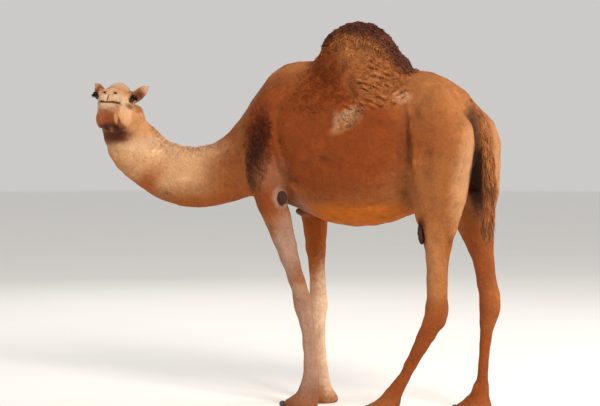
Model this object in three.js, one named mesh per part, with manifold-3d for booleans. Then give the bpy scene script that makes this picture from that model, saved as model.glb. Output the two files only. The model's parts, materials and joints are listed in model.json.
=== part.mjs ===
// A standing dromedary camel, life size, as a still museum model.
// Units are millimetres and +Z is up. The camel heads along -X with its left side towards -Y,
// and turns its head to its left. Everything is first set out in the camel's own frame, whose
// x = 0 lies under the hump and whose z = 0 is the ground; the finished group is then moved so
// that its origin is the bottom centre of its bounding box.
//
// The body is a set of closed sweeps through named stations, parted by thin plane cuts or by
// leaving a gap round the piece that sits in its neighbour.

import * as THREE from "three";
import { mergeVertices } from "three/addons/utils/BufferGeometryUtils.js";
import Module from "manifold-3d";

const wasm = await Module();
wasm.setup();

// ---------------------------------------------------------------- driving dimensions

const GAP = 0.4; // left between touching pieces
const SLIVER = 0.12; // edges and ridges smaller than this are smoothed away
const LEFT = -1; // the camel's left is -Y

// Outline of the trunk in side view.
const WITHERS_HEIGHT = 1857;
const CROUP_HEIGHT = 1778;
const HUMP_HEIGHT = 2074;
const BELLY_HEIGHT = 966;
const BRISKET_HEIGHT = 1050;
const BARREL_HALF_WIDTH = 312;

// Head, in its own frame: x forward from between the eyes, y to its left, z up.
const EYE_MIDPOINT = [-1262, -280, 1664];
const HEAD_YAW = -67.5; // degrees from +X, so the head looks back past its left shoulder
const HEAD_NOSE_UP = 13;
const HEAD_ROLL = -5;
const EYE_RADIUS = 21;
const EYE_SPREAD = 90; // from the head's middle to an eye's centre
const MOUTH_HEIGHT = -88;

const FOOT_HALF_LENGTH = 98;
const FOOT_HALF_WIDTH = 86;

// Along a hind leg's joints, where a stout shank is deepest and how far that reaches.
const SHANK_MIDDLE = 5.65;
const SHANK_REACH = 0.85;

// ---------------------------------------------------------------- shape tools

const degrees = THREE.MathUtils.degToRad;
const vec = (p) => new THREE.Vector3(...p);

// A closed mesh as a solid that can be joined and cut.
function solid(geometry) {
  const bare = geometry.index ? geometry.toNonIndexed() : geometry.clone();
  bare.deleteAttribute("normal");
  bare.deleteAttribute("uv");
  const merged = mergeVertices(bare, 1e-3);
  return new wasm.Manifold(
    new wasm.Mesh({
      numProp: 3,
      vertProperties: new Float32Array(merged.attributes.position.array),
      triVerts: new Uint32Array(merged.index.array),
    }),
  );
}

function geometryOf(body) {
  const mesh = body.getMesh();
  const position = new Float32Array(mesh.numVert * 3);
  for (let i = 0; i < mesh.numVert; i++) {
    position.set(mesh.vertProperties.subarray(i * mesh.numProp, i * mesh.numProp + 3), i * 3);
  }
  return new THREE.BufferGeometry()
    .setAttribute("position", new THREE.BufferAttribute(position, 3))
    .setIndex(new THREE.BufferAttribute(new Uint32Array(mesh.triVerts), 1));
}

// A point on the smooth curve through equally spaced points.
function smooth(points, t) {
  const last = points.length - 1;
  const i = Math.min(Math.floor(t), last - 1);
  const f = t - i;
  const at = (k) => points[Math.min(Math.max(k, 0), last)];
  const weights = [
    -f * (1 - f) ** 2,
    2 - 5 * f ** 2 + 3 * f ** 3,
    f * (1 + 4 * f - 3 * f ** 2),
    -(f ** 2) * (1 - f),
  ];
  const sum = new THREE.Vector3();
  weights.forEach((w, k) => sum.addScaledVector(at(i - 1 + k), w / 2));
  return sum;
}

// A closed sweep through stations. Each station gives `at`, the widest place of its ring; `wide`,
// the half width to each side of it; `over` and `under`, the depths to both sides of it; `up`, the
// direction of `over`; and either `left`, the ring's sideways direction, or nothing, when the ring
// stands square to the path. The roundness powers are 2 for an ellipse, more for a boxy ring and
// less for a peaked one. `grow` swells the whole sweep, and `flat` leaves its last ring as its end.
function sweep(stations, { sides, rings, grow = 0, flat = false }) {
  const outlines = stations.map((station, i) => {
    const before = vec(stations[Math.max(i - 1, 0)].at);
    const ahead = vec(stations[Math.min(i + 1, stations.length - 1)].at).sub(before).normalize();
    let up = vec(station.up).normalize();
    let left;
    if (station.left) {
      left = vec(station.left).normalize();
    } else {
      left = new THREE.Vector3().crossVectors(up, ahead).normalize();
      up = new THREE.Vector3().crossVectors(ahead, left);
    }
    const { roundOver = 2, roundUnder = 2 } = station;
    return Array.from({ length: sides }, (_, k) => {
      const angle = (2 * Math.PI * k) / sides;
      const [c, s] = [Math.cos(angle), Math.sin(angle)];
      const power = s >= 0 ? roundOver : roundUnder;
      const depth = (s >= 0 ? station.over : station.under) + grow;
      return vec(station.at)
        .addScaledVector(left, Math.sign(c) * Math.abs(c) ** (2 / power) * (station.wide + grow))
        .addScaledVector(up, Math.sign(s) * Math.abs(s) ** (2 / power) * depth);
    });
  });
  const last = stations.length - 1;
  const full = [];
  for (let i = 0; i < rings; i++) {
    const t = (last * i) / (rings - 1);
    full.push(outlines[0].map((_, k) => smooth(outlines.map((ring) => ring[k]), t)));
  }
  // A round end is a smaller copy of the end ring, pushed out past it.
  const end = (ring, inner) => {
    const centre = middle(ring);
    const out = centre.clone().sub(middle(inner)).normalize();
    const reach = 0.4 * Math.min(...ring.map((p) => p.distanceTo(centre)));
    return ring.map((p) => p.clone().lerp(centre, 0.4).addScaledVector(out, reach + grow));
  };
  const all = [end(full[0], full[1]), ...full];
  if (!flat) all.push(end(full[full.length - 1], full[full.length - 2]));
  return closeRings(all, sides);
}

function middle(ring) {
  return ring.reduce((sum, p) => sum.add(p), new THREE.Vector3()).divideScalar(ring.length);
}

function closeRings(rings, sides) {
  const points = rings.flat();
  points.push(middle(rings[0]), middle(rings[rings.length - 1]));
  const first = points.length - 2;
  const final = points.length - 1;
  const faces = [];
  for (let r = 0; r + 1 < rings.length; r++) {
    for (let k = 0; k < sides; k++) {
      const next = (k + 1) % sides;
      const a = r * sides + k;
      const b = r * sides + next;
      faces.push(a, b, b + sides, a, b + sides, a + sides);
    }
  }
  const end = (rings.length - 1) * sides;
  for (let k = 0; k < sides; k++) {
    const next = (k + 1) % sides;
    faces.push(first, next, k, final, end + k, end + next);
  }
  const geometry = new THREE.BufferGeometry().setFromPoints(points);
  geometry.setIndex(faces);
  const body = solid(geometry);
  if (body.volume() > 0) return body;
  for (let i = 0; i < faces.length; i += 3) {
    [faces[i + 1], faces[i + 2]] = [faces[i + 2], faces[i + 1]];
  }
  geometry.setIndex(faces);
  return solid(geometry);
}

// An ellipsoid with half sizes along x, y and z, placed by a matrix.
function ellipsoid(at, half, { matrix = new THREE.Matrix4(), grow = 0, detail = 12 } = {}) {
  const ball = new THREE.SphereGeometry(1, detail, Math.round(detail * 0.6));
  ball.scale(...half.map((h) => h + grow));
  ball.translate(...at);
  return solid(ball.applyMatrix4(matrix));
}

// The body without the slivers that cutting leaves.
function tidy(body) {
  const pieces = body.simplify(SLIVER).decompose();
  return pieces.sort((a, b) => b.volume() - a.volume())[0];
}

// Parts a body at a plane: the first piece lies on the side that the normal points to.
function part(body, at, normal) {
  const reach = 4000;
  const turn = new THREE.Quaternion().setFromUnitVectors(
    new THREE.Vector3(0, 0, 1),
    vec(normal).normalize(),
  );
  const half = (side) => {
    const box = new THREE.BoxGeometry(reach, reach, reach);
    box.translate(0, 0, (side * (reach + GAP)) / 2);
    box.applyQuaternion(turn);
    box.translate(...at);
    return solid(box);
  };
  return [body.intersect(half(1)), body.intersect(half(-1))];
}

// ---------------------------------------------------------------- materials

const coatMaterial = new THREE.MeshStandardMaterial({ color: 0xb4723c, roughness: 0.85, metalness: 0 });
const darkWoolMaterial = new THREE.MeshStandardMaterial({ color: 0x4a2a1c, roughness: 0.95, metalness: 0 });
const eyeMaterial = new THREE.MeshStandardMaterial({ color: 0x1a0f0a, roughness: 0.08, metalness: 0 });
const nailMaterial = new THREE.MeshStandardMaterial({ color: 0x3a2b25, roughness: 0.55, metalness: 0 });
const padMaterial = new THREE.MeshStandardMaterial({ color: 0x4f3626, roughness: 0.75, metalness: 0 });

const camel = new THREE.Group();

function addNode(name, body, material) {
  const mesh = new THREE.Mesh(geometryOf(tidy(body)), material);
  mesh.name = name;
  camel.add(mesh);
}

// ---------------------------------------------------------------- trunk, hump and neck

// A ring from the points where it meets the back line and the belly line in side view; `share`
// is how high up that chord the ring is widest.
function chordRing(top, bottom, wide, share = 0.45, roundOver = 1.9, roundUnder = 2.1) {
  const [high, low] = [vec([top[0], 0, top[1]]), vec([bottom[0], 0, bottom[1]])];
  const length = high.distanceTo(low);
  return {
    at: low.clone().lerp(high, share).toArray(),
    up: high.clone().sub(low).toArray(),
    left: [0, LEFT, 0],
    over: length * (1 - share),
    under: length * share,
    wide,
    roundOver,
    roundUnder,
  };
}

const barrelRing = (x, top, bottom, wide, share, roundOver) =>
  chordRing([x, top], [x, bottom], wide, share, roundOver, 2.15);

// From the rump to the chest and on to the head. Past the chest the neck dips forward, then climbs
// and turns to its left, so the last rings only say which way the nape lies.
const bodyStations = [
  chordRing([752, 1588], [738, 1350], 74, 0.5),
  chordRing([712, 1628], [694, 1262], 132, 0.55),
  chordRing([640, 1704], [622, 1180], 190, 0.5),
  barrelRing(540, CROUP_HEIGHT - 7, BELLY_HEIGHT + 142, 218, 0.46, 1.8),
  barrelRing(430, CROUP_HEIGHT + 18, BELLY_HEIGHT + 94, 240, 0.42, 1.7),
  barrelRing(320, CROUP_HEIGHT + 20, BELLY_HEIGHT + 48, 284, 0.42, 1.6),
  barrelRing(200, CROUP_HEIGHT + 30, BELLY_HEIGHT + 13, BARREL_HALF_WIDTH - 3, 0.42, 1.6),
  barrelRing(70, CROUP_HEIGHT + 50, BELLY_HEIGHT, BARREL_HALF_WIDTH, 0.42, 1.6),
  barrelRing(-60, WITHERS_HEIGHT - 8, BELLY_HEIGHT + 16, 300, 0.42, 1.6),
  barrelRing(-180, WITHERS_HEIGHT + 2, BRISKET_HEIGHT - 26, 274, 0.42, 1.5),
  chordRing([-290, WITHERS_HEIGHT + 2], [-280, BRISKET_HEIGHT + 14], 246, 0.42, 1.45),
  chordRing([-385, 1834], [-350, BRISKET_HEIGHT + 34], 220, 0.42, 1.5),
  chordRing([-470, 1760], [-415, BRISKET_HEIGHT + 48], 194, 0.42, 1.6),
  chordRing([-545, 1658], [-485, 1112], 168, 0.44, 1.7),
  chordRing([-618, 1556], [-560, 1122], 142, 0.46, 1.8),
  chordRing([-705, 1463], [-655, 1092], 120, 0.48),
  chordRing([-805, 1408], [-772, 1065], 107, 0.5),
  chordRing([-905, 1392], [-893, 1053], 101, 0.5),
  chordRing([-1010, 1397], [-1022, 1061], 98, 0.5),
  chordRing([-1086, 1426], [-1140, 1098], 97, 0.5),
  chordRing([-1124, 1451], [-1218, 1139], 98, 0.5),
  neckRing([-1160, -2, 1483], [-1306, -14, 1194], 99, [0.08, -0.99, -0.05]),
  neckRing([-1197, -4, 1516], [-1378, -47, 1262], 100, [0.3, -0.94, -0.17]),
  neckRing([-1222, -8, 1548], [-1412, -95, 1334], 102, [0.55, -0.79, -0.27]),
  neckRing([-1228, -25, 1586], [-1408, -147, 1416], 104, [0.73, -0.57, -0.37]),
  neckRing([-1238, -55, 1624], [-1390, -198, 1490], 102, [0.85, -0.35, -0.38]),
];

// A ring of the upper neck from its nape and throat points.
function neckRing(nape, throat, wide, left) {
  const [high, low] = [vec(nape), vec(throat)];
  const half = high.distanceTo(low) / 2;
  return {
    at: high.clone().add(low).divideScalar(2).toArray(),
    up: high.clone().sub(low).toArray(),
    left,
    over: half,
    under: half,
    wide,
  };
}

// The hump rises from the back line and hangs a little over its own front foot.
function humpRing(x, top, wide, sink = 150, lean = 0) {
  const base = 1700;
  return {
    at: [x + lean, 0, base],
    up: [-lean, 0, top - base],
    left: [0, LEFT, 0],
    over: Math.hypot(lean, top - base),
    under: sink,
    wide,
    roundOver: 1.9,
  };
}

const humpStations = [
  humpRing(-168, 1862, 92, 60, 30),
  humpRing(-128, 1944, 124, 150, 22),
  humpRing(-76, 2012, 150, 150, 12),
  humpRing(0, 2052, 174),
  humpRing(72, HUMP_HEIGHT, 184),
  humpRing(158, 2048, 182),
  humpRing(232, 1991, 166),
  humpRing(300, 1907, 138),
  humpRing(362, 1806, 92, 60),
];

// ---------------------------------------------------------------- head

// The head's own frame has x forward from between the eyes, y to the camel's left and z up.
const headFrame = new THREE.Matrix4()
  .makeRotationFromEuler(
    new THREE.Euler(degrees(HEAD_ROLL), degrees(-HEAD_NOSE_UP), degrees(HEAD_YAW), "ZYX"),
  )
  .setPosition(vec(EYE_MIDPOINT));

const toWorld = (body) => solid(geometryOf(body).applyMatrix4(headFrame));

// One ring across the head from its top, bottom and half width, and its widest height.
function headRing(x, top, bottom, wide, widest, roundOver = 2, roundUnder = 2) {
  return {
    at: [x, 0, widest],
    up: [0, 0, 1],
    left: [0, 1, 0],
    over: top - widest,
    under: widest - bottom,
    wide,
    roundOver,
    roundUnder,
  };
}

const headStations = [
  headRing(262, -34, -110, 42, -72, 2.2),
  headRing(244, -14, -130, 54, -70, 2.2, 2.2),
  headRing(205, -6, -136, 59, -66, 2.1, 2.1),
  headRing(150, 2, -136, 58, -62),
  headRing(95, 14, -143, 66, -58),
  headRing(45, 34, -156, 80, -52),
  headRing(0, 62, -172, 92, -42, 2, 2.1),
  headRing(-50, 92, -186, 98, -34, 1.9, 2.3),
  headRing(-100, 112, -180, 95, -24, 1.9, 2.2),
  headRing(-146, 100, -138, 84, -12),
  headRing(-184, 58, -94, 62, -8),
];

function headShape(grow = 0) {
  let whole = sweep(headStations, { sides: 16, rings: 11, grow });
  for (const side of [1, -1]) {
    const brow = ellipsoid([-4, side * 72, 10], [42, 36, 32], { grow, detail: 10 });
    const nostril = ellipsoid([230, side * 32, -36], [32, 22, 22], { grow, detail: 8 });
    const cheek = ellipsoid([-40, side * 64, -112], [70, 32, 56], { grow, detail: 10 });
    whole = whole.add(brow).add(nostril).add(cheek);
  }
  return whole;
}

const eyeball = (side, grow = 0) =>
  ellipsoid([0, side * EYE_SPREAD, 0], [EYE_RADIUS, EYE_RADIUS, EYE_RADIUS], { grow, detail: 10 });

// The lower jaw lies under the mouth line and ahead of the angle of the jaw.
function jawBlock(grow) {
  const [rear, front, deep] = [-66, 400, 300];
  const box = new THREE.BoxGeometry(front - rear + grow, 400, deep);
  box.translate((front + rear - grow) / 2, 0, MOUTH_HEIGHT - deep / 2 + grow);
  return solid(box);
}

// A leaf-shaped cup, from where it leaves the head to its tip.
function ear(side, tip) {
  const root = new THREE.Vector3(-92, side * 78, 12);
  const end = vec(tip);
  const axis = end.clone().sub(root).normalize();
  const facing = new THREE.Vector3(0.86, side * 0.42, 0.1);
  const shape = [
    [0, 24, 17],
    [0.2, 31, 17],
    [0.42, 34, 15],
    [0.64, 31, 12],
    [0.84, 22, 8],
    [1, 9, 4],
  ];
  const leaf = sweep(
    shape.map(([t, wide, thick]) => ({
      at: root.clone().lerp(end, t).toArray(),
      up: facing.toArray(),
      wide,
      over: thick,
      under: thick,
    })),
    { sides: 10, rings: 7 },
  );
  const across = new THREE.Vector3().crossVectors(facing, axis).normalize();
  const front = new THREE.Vector3().crossVectors(axis, across);
  const centre = root.clone().lerp(end, 0.56).addScaledVector(front, 13);
  const frame = new THREE.Matrix4().makeBasis(axis, across, front).setPosition(centre);
  return leaf.subtract(ellipsoid([0, 0, 0], [42, 25, 15], { matrix: frame, detail: 8 }));
}

// ---------------------------------------------------------------- legs

// A limb along its joints. Each row of the girths says where its ring lies, as a joint's number
// and a share of the way to the next, then its half depth fore and aft and its half width. `stout`
// is how much deeper the limb is round the middle of its shank.
function limbStations({ joints, stout = 1 }, girths) {
  return girths.map(([along, fore, aft, wide, round = 2]) => {
    const swell = 1 + (stout - 1) * Math.exp(-(((along - SHANK_MIDDLE) / SHANK_REACH) ** 2));
    const i = Math.min(Math.floor(along), joints.length - 2);
    return {
      at: vec(joints[i]).lerp(vec(joints[i + 1]), along - i).toArray(),
      up: [1, 0, 0],
      over: aft * swell,
      under: fore * swell,
      wide,
      roundOver: round,
      roundUnder: round,
    };
  });
}

// The pastern widens into a broad flat pad, which lies ahead of the ankle.
function footStations(ankle, foot, turn) {
  const [sin, cos] = [Math.sin(degrees(turn)), Math.cos(degrees(turn))];
  const shape = [
    [88, 0.12, 0.6, 0.58],
    [64, 0.42, 0.76, 0.72],
    [42, 0.78, 0.92, 0.9],
    [20, 1, 1.02, 1],
    [6, 1, 1, 0.99],
    [0, 0.98, 0.94, 0.93],
  ];
  return shape.map(([z, share, length, width]) => ({
    at: [ankle[0] + (foot[0] - ankle[0]) * share, ankle[1] + (foot[1] - ankle[1]) * share, z],
    up: [cos, sin, 0],
    left: [-sin, cos, 0],
    over: FOOT_HALF_LENGTH * length * 0.94,
    under: FOOT_HALF_LENGTH * length,
    wide: FOOT_HALF_WIDTH * width,
    roundUnder: 2.3,
  }));
}

const FORE_GIRTHS = [
  [0.12, 58, 62, 44],
  [0.5, 104, 96, 66],
  [1, 118, 120, 80],
  [1.45, 112, 112, 84],
  [1.78, 98, 96, 78],
  [2, 88, 86, 70],
  [2.2, 76, 76, 60],
  [2.45, 60, 60, 53],
  [2.72, 46, 46, 45],
  [2.9, 45, 45, 46],
  [3.02, 51, 50, 51],
  [3.42, 52, 50, 50],
  [3.72, 40, 39, 40],
  [4, 35, 35, 36],
  [4.45, 33, 34, 34],
  [4.82, 39, 40, 40],
  [5, 45, 44, 45],
];

const HIND_GIRTHS = [
  [0.1, 110, 56, 50],
  [0.45, 176, 104, 112],
  [0.8, 204, 154, 124],
  [1.05, 206, 165, 127],
  [1.4, 186, 154, 122],
  [1.75, 160, 140, 110],
  [2, 128, 119, 90],
  [2.4, 98, 96, 74],
  [2.8, 72, 74, 58],
  [3.1, 60, 62, 51],
  [3.6, 55, 56, 46],
  [3.92, 54, 60, 48],
  [4.4, 54, 66, 47],
  [4.9, 48, 58, 43],
  [5.2, 41, 42, 38],
  [5.6, 33, 32, 32],
  [6.1, 28, 28, 29],
  [6.65, 27, 28, 31],
  [7, 31, 32, 36],
];

const LIMBS = {
  fore_left: {
    joints: [
      [-355, -128, 1730],
      [-428, -186, 1400],
      [-335, -197, 1085],
      [-199, -128, 598],
      [-166, -123, 415],
      [-148, -121, 175],
    ],
    ankle: [-158, -121],
    foot: [-207, -121],
    turn: 0,
  },
  fore_right: {
    joints: [
      [-320, 128, 1730],
      [-385, 186, 1400],
      [-270, 184, 1085],
      [-214, 114, 590],
      [-208, 110, 415],
      [-199, 110, 170],
    ],
    ankle: [-190, 110],
    foot: [-196, 118],
    turn: -14,
  },
  hind_left: {
    joints: [
      [560, -92, 1704],
      [614, -156, 1430],
      [596, -190, 1043],
      [583, -172, 838],
      [570, -142, 585],
      [556, -137, 506],
      [465, -136, 336],
      [376, -136, 178],
    ],
    stout: 1.4,
    ankle: [322, -136],
    foot: [262, -136],
    turn: 0,
  },
  hind_right: {
    joints: [
      [556, 92, 1690],
      [650, 158, 1425],
      [652, 188, 1043],
      [706, 172, 838],
      [757, 147, 600],
      [752, 142, 505],
      [736, 137, 340],
      [722, 136, 165],
    ],
    ankle: [712, 136],
    foot: [676, 140],
    turn: -4,
  },
};

function limb(plan, girths, grow = 0) {
  const feet = footStations(plan.ankle, plan.foot, plan.turn);
  const stations = [...limbStations(plan, girths), ...feet];
  return sweep(stations, { sides: 12, rings: stations.length, grow, flat: true });
}

// Both toes end in a nail at the front of the pad, and a shallow groove lies between them.
function toeFrame({ foot, turn }, across, height) {
  const back = new THREE.Vector3(Math.cos(degrees(turn)), Math.sin(degrees(turn)), 0);
  const left = new THREE.Vector3(back.y, -back.x, 0);
  const at = new THREE.Vector3(foot[0], foot[1], height)
    .addScaledVector(back, -FOOT_HALF_LENGTH)
    .addScaledVector(left, across);
  const up = new THREE.Vector3(0, 0, 1);
  return new THREE.Matrix4().makeBasis(back, left.clone().negate(), up).setPosition(at);
}

function toenail(plan, across, grow = 0) {
  const matrix = toeFrame(plan, across, 19);
  return ellipsoid([6, 0, 0], [20, 16, 18], { matrix, grow, detail: 8 });
}

function toeGroove(plan) {
  const wedge = new THREE.CylinderGeometry(14, 14, 130, 3);
  wedge.rotateZ(Math.PI / 2);
  wedge.rotateX(Math.PI / 2);
  wedge.rotateY(degrees(-28));
  wedge.translate(22, 0, 46);
  return solid(wedge.applyMatrix4(toeFrame(plan, 0, 0)));
}

// ---------------------------------------------------------------- tail

function tailRing(x, y, z, deep, wide) {
  return { at: [x, y, z], up: [1, 0, 0.15], over: deep, under: deep, wide };
}

const tailStations = [
  tailRing(664, 0, 1622, 26, 34),
  tailRing(716, 0, 1570, 42, 54),
  tailRing(752, 0, 1500, 45, 52),
  tailRing(778, 0, 1415, 42, 46),
  tailRing(792, 0, 1325, 39, 41),
  tailRing(799, -3, 1210, 38, 40),
  tailRing(799, -8, 1090, 38, 42),
  tailRing(797, -12, 990, 32, 35),
  tailRing(794, -16, 900, 18, 20),
];

// ---------------------------------------------------------------- assembly

let body = sweep(bodyStations, { sides: 20, rings: 29 });
body = body.add(sweep(humpStations, { sides: 16, rings: 11 }));

const [trunkWhole, neckWhole] = part(body, [-585, 0, 1330], [0.93, 0, 0.37]);
const [humpTop, trunkLow] = part(trunkWhole, [0, 0, 1866], [0, 0, 1]);
let trunk = trunkLow;
addNode("hump", humpTop, darkWoolMaterial);

// Hard, hairless pads where the camel kneels and lies down.
const pads = {
  chest_pad: [[-212, 0, 1046], [82, 62, 34]],
  elbow_pad_left: [[-262, -238, 1124], [30, 16, 40]],
  elbow_pad_right: [[-196, 226, 1124], [30, 16, 40]],
  stifle_pad_left: [[514, -212, 962], [20, 32, 68]],
  stifle_pad_right: [[596, 206, 962], [20, 32, 68]],
};
const padOf = (name, grow = 0) => ellipsoid(...pads[name], { grow, detail: 8 });

const CUTS = {
  fore: [
    { piece: "upper_arm", joint: 2, normal: [0.2, 0, 1] },
    { piece: "forearm", joint: 3, drop: 26, normal: [0, 0, 1] },
    { piece: "fore_shank", joint: 5, drop: 14, normal: [0, 0, 1] },
  ],
  hind: [
    { piece: "thigh", joint: 2, drop: 20, normal: [0, 0, 1] },
    { piece: "gaskin", joint: 4, drop: -18, normal: [0, 0, 1] },
    { piece: "hind_shank", joint: 7, drop: 12, normal: [0.3, 0, 1] },
  ],
};

// Between the limbs the trunk stays whole.
const core = (grow) => {
  const block = new THREE.BoxGeometry(2400, 200 + 2 * grow, 900 + grow);
  return solid(block.translate(0, 0, 1620 - grow / 2));
};

for (const end of ["fore", "hind"]) {
  const girths = end === "fore" ? FORE_GIRTHS : HIND_GIRTHS;
  for (const hand of ["left", "right"]) {
    const plan = LIMBS[`${end}_${hand}`];
    let rest = limb(plan, girths).subtract(core(GAP)).subtract(toeGroove(plan));
    trunk = trunk.subtract(limb(plan, girths, GAP).subtract(core(0)));
    const outer = hand === "left" ? 36 : -36;
    for (const [toe, across] of [["outer", outer], ["inner", -outer]]) {
      const [nail] = part(toenail(plan, across), [0, 0, GAP / 2], [0, 0, 1]);
      addNode(`${end}_nail_${toe}_${hand}`, nail, nailMaterial);
      rest = rest.subtract(toenail(plan, across, GAP));
    }
    const pad = end === "fore" ? `elbow_pad_${hand}` : `stifle_pad_${hand}`;
    rest = rest.subtract(padOf(pad, GAP));
    for (const { piece, joint, drop = 0, normal } of CUTS[end]) {
      const [x, y, z] = plan.joints[joint];
      const [upper, lower] = part(rest, [x, y, z - drop], normal);
      addNode(`${piece}_${hand}`, upper, coatMaterial);
      rest = lower;
    }
    addNode(`${end}_foot_${hand}`, rest, coatMaterial);
  }
}

for (const name of Object.keys(pads)) {
  addNode(name, padOf(name), padMaterial);
  trunk = trunk.subtract(padOf(name, GAP));
}

const tail = (grow) => sweep(tailStations, { sides: 8, rings: 11, grow });
const [dock, tuft] = part(tail(0), [798, 0, 1215], [0, 0, 1]);
trunk = trunk.subtract(tail(GAP));
addNode("tail_dock", dock, coatMaterial);
addNode("tail_tuft", tuft, darkWoolMaterial);
addNode("trunk", trunk, coatMaterial);

const neck = neckWhole.subtract(toWorld(headShape(GAP)));
const [neckBase, neckRest] = part(neck, [-880, 0, 1222], [1, 0, 0.05]);
const [neckMiddle, neckTop] = part(neckRest, [-1190, 0, 1306], [0.75, 0, -0.66]);
addNode("neck_base", neckBase, coatMaterial);
addNode("neck_middle", neckMiddle, coatMaterial);
addNode("neck_top", neckTop, coatMaterial);

let skull = headShape().subtract(jawBlock(GAP));
const EAR_TIPS = { left: [-122, 156, 108], right: [-128, -138, 102] };
for (const [hand, side] of [["left", 1], ["right", -1]]) {
  skull = skull.subtract(eyeball(side, GAP));
  addNode(`eye_${hand}`, toWorld(eyeball(side)), eyeMaterial);
  addNode(`ear_${hand}`, toWorld(ear(side, EAR_TIPS[hand]).subtract(headShape(GAP))), coatMaterial);
}
addNode("head", toWorld(skull), coatMaterial);
addNode("lower_jaw", toWorld(headShape().intersect(jawBlock(0))), coatMaterial);

// The group's origin is the bottom centre of the camel's bounding box.
const box = new THREE.Box3().setFromObject(camel);
const centre = box.getCenter(new THREE.Vector3());
camel.position.set(-centre.x, -centre.y, -box.min.z);

export default camel;
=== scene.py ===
"""The looks of a standing one-humped camel: one skin over its body, a short coat that lies along it,
wool on the hump, shoulder and flank, long hair on the tail, and its face, nails and hard pads.

Lengths are metres. Places on the body are given in the camel's own frame, whose x = 0 lies under the
hump, with +X towards the tail, +Y to its right and z = 0 on the ground. Places on the head are given
in the head's frame: x forward from between the eyes, y to its left and z up.
"""

import json
import math

import bpy
import numpy as np
from mathutils import Matrix, Vector
from mathutils.bvhtree import BVHTree

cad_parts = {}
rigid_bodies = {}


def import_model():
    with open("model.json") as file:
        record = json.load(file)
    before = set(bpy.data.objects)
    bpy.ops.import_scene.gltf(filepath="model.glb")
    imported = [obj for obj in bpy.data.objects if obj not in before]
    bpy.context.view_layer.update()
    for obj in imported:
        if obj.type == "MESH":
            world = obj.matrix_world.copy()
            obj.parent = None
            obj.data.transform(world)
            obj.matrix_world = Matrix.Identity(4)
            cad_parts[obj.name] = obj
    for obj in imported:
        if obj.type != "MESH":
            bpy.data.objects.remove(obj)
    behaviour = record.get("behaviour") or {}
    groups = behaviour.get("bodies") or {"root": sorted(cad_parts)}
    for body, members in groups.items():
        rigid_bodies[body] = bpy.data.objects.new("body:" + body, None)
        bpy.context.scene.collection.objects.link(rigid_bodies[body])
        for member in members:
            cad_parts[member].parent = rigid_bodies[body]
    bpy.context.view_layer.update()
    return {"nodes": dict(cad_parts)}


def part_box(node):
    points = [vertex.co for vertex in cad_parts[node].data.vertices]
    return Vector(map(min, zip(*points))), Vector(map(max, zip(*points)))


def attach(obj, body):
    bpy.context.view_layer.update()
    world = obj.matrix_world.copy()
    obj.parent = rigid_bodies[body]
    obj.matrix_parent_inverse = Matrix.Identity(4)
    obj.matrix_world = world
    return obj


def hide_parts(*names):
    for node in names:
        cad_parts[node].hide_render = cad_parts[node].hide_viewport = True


bl_info = {
    "name": "Standing camel",
    "version": (1, 0, 0),
    "blender": (4, 5, 0),
    "location": "3D View > Sidebar > Camel",
    "description": "Builds the skin, coat and details of a standing camel",
    "category": "Object",
}

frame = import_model()

# ---------------------------------------------------------------- places worked out from the frame


def centre(node):
    low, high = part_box(node)
    return (low + high) / 2


EYES_FROM_ORIGIN = Vector((-1.262, -0.280, 1.664))
EYE_MIDDLE = (centre("eye_left") + centre("eye_right")) / 2
ORIGIN = np.array(EYE_MIDDLE - EYES_FROM_ORIGIN)
HEAD_YAW = math.radians(-67.5)
HEAD_NOSE_UP = math.radians(13)
HEAD_ROLL = math.radians(-5)
HEAD_TURN = (
    Matrix.Rotation(HEAD_YAW, 4, "Z")
    @ Matrix.Rotation(-HEAD_NOSE_UP, 4, "Y")
    @ Matrix.Rotation(HEAD_ROLL, 4, "X")
)
HEAD_AXES = np.array(HEAD_TURN.to_3x3())  # its columns are the head's own x, y and z
HEAD_EULER = tuple(HEAD_TURN.to_euler("XYZ"))
EYE_RADIUS = 0.021
EYE_SPREAD = 0.090  # from the head's middle to the middle of an eyeball
MOUTH_HEIGHT = -0.0955
SEED = 7  # every piece draws its own random numbers from this and its own number

APART = ("eye_", "chest_pad", "elbow_pad_", "stifle_pad_")
FLESH = sorted(n for n in frame["nodes"] if not n.startswith(APART) and "_nail_" not in n)
NAILS = sorted(n for n in frame["nodes"] if "_nail_" in n)
PADS = sorted(n for n in frame["nodes"] if "_pad" in n)

# How far the skin lies inside the outline that the coat's tips make.
COAT_DEPTH = {
    "trunk": 0.002,
    "hump": 0.013,
    "neck": 0.003,
    "head": 0.001,
    "lower_jaw": 0.001,
    "ear": 0.0005,
    "upper_arm": 0.003,
    "forearm": 0.002,
    "fore_shank": 0.001,
    "fore_foot": 0.0005,
    "thigh": 0.002,
    "gaskin": 0.0015,
    "hind_shank": 0.001,
    "hind_foot": 0.0005,
    "tail_dock": 0.006,
    "tail_tuft": 0.016,
}

# The middle of the neck, from the head to the chest.
NECK_LINE = np.array(
    [
        (-1.325, -0.135, 1.557),
        (-1.312, -0.050, 1.442),
        (-1.233, -0.008, 1.338),
        (-1.113, 0.0, 1.262),
        (-1.016, 0.0, 1.229),
        (-0.900, 0.0, 1.220),
        (-0.790, 0.0, 1.240),
        (-0.680, 0.0, 1.280),
        (-0.515, 0.0, 1.380),
    ]
)
HUMP_APEX = np.array((0.072, 0.0, 2.10))

# ---------------------------------------------------------------- settings


def colour(name, text, value):
    return bpy.props.FloatVectorProperty(
        name=name, description=text, subtype="COLOR", size=3, min=0, max=1, default=value
    )


def length(name, text, value):
    return bpy.props.FloatProperty(name=name, description=text, unit="LENGTH", min=0, default=value)


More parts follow.
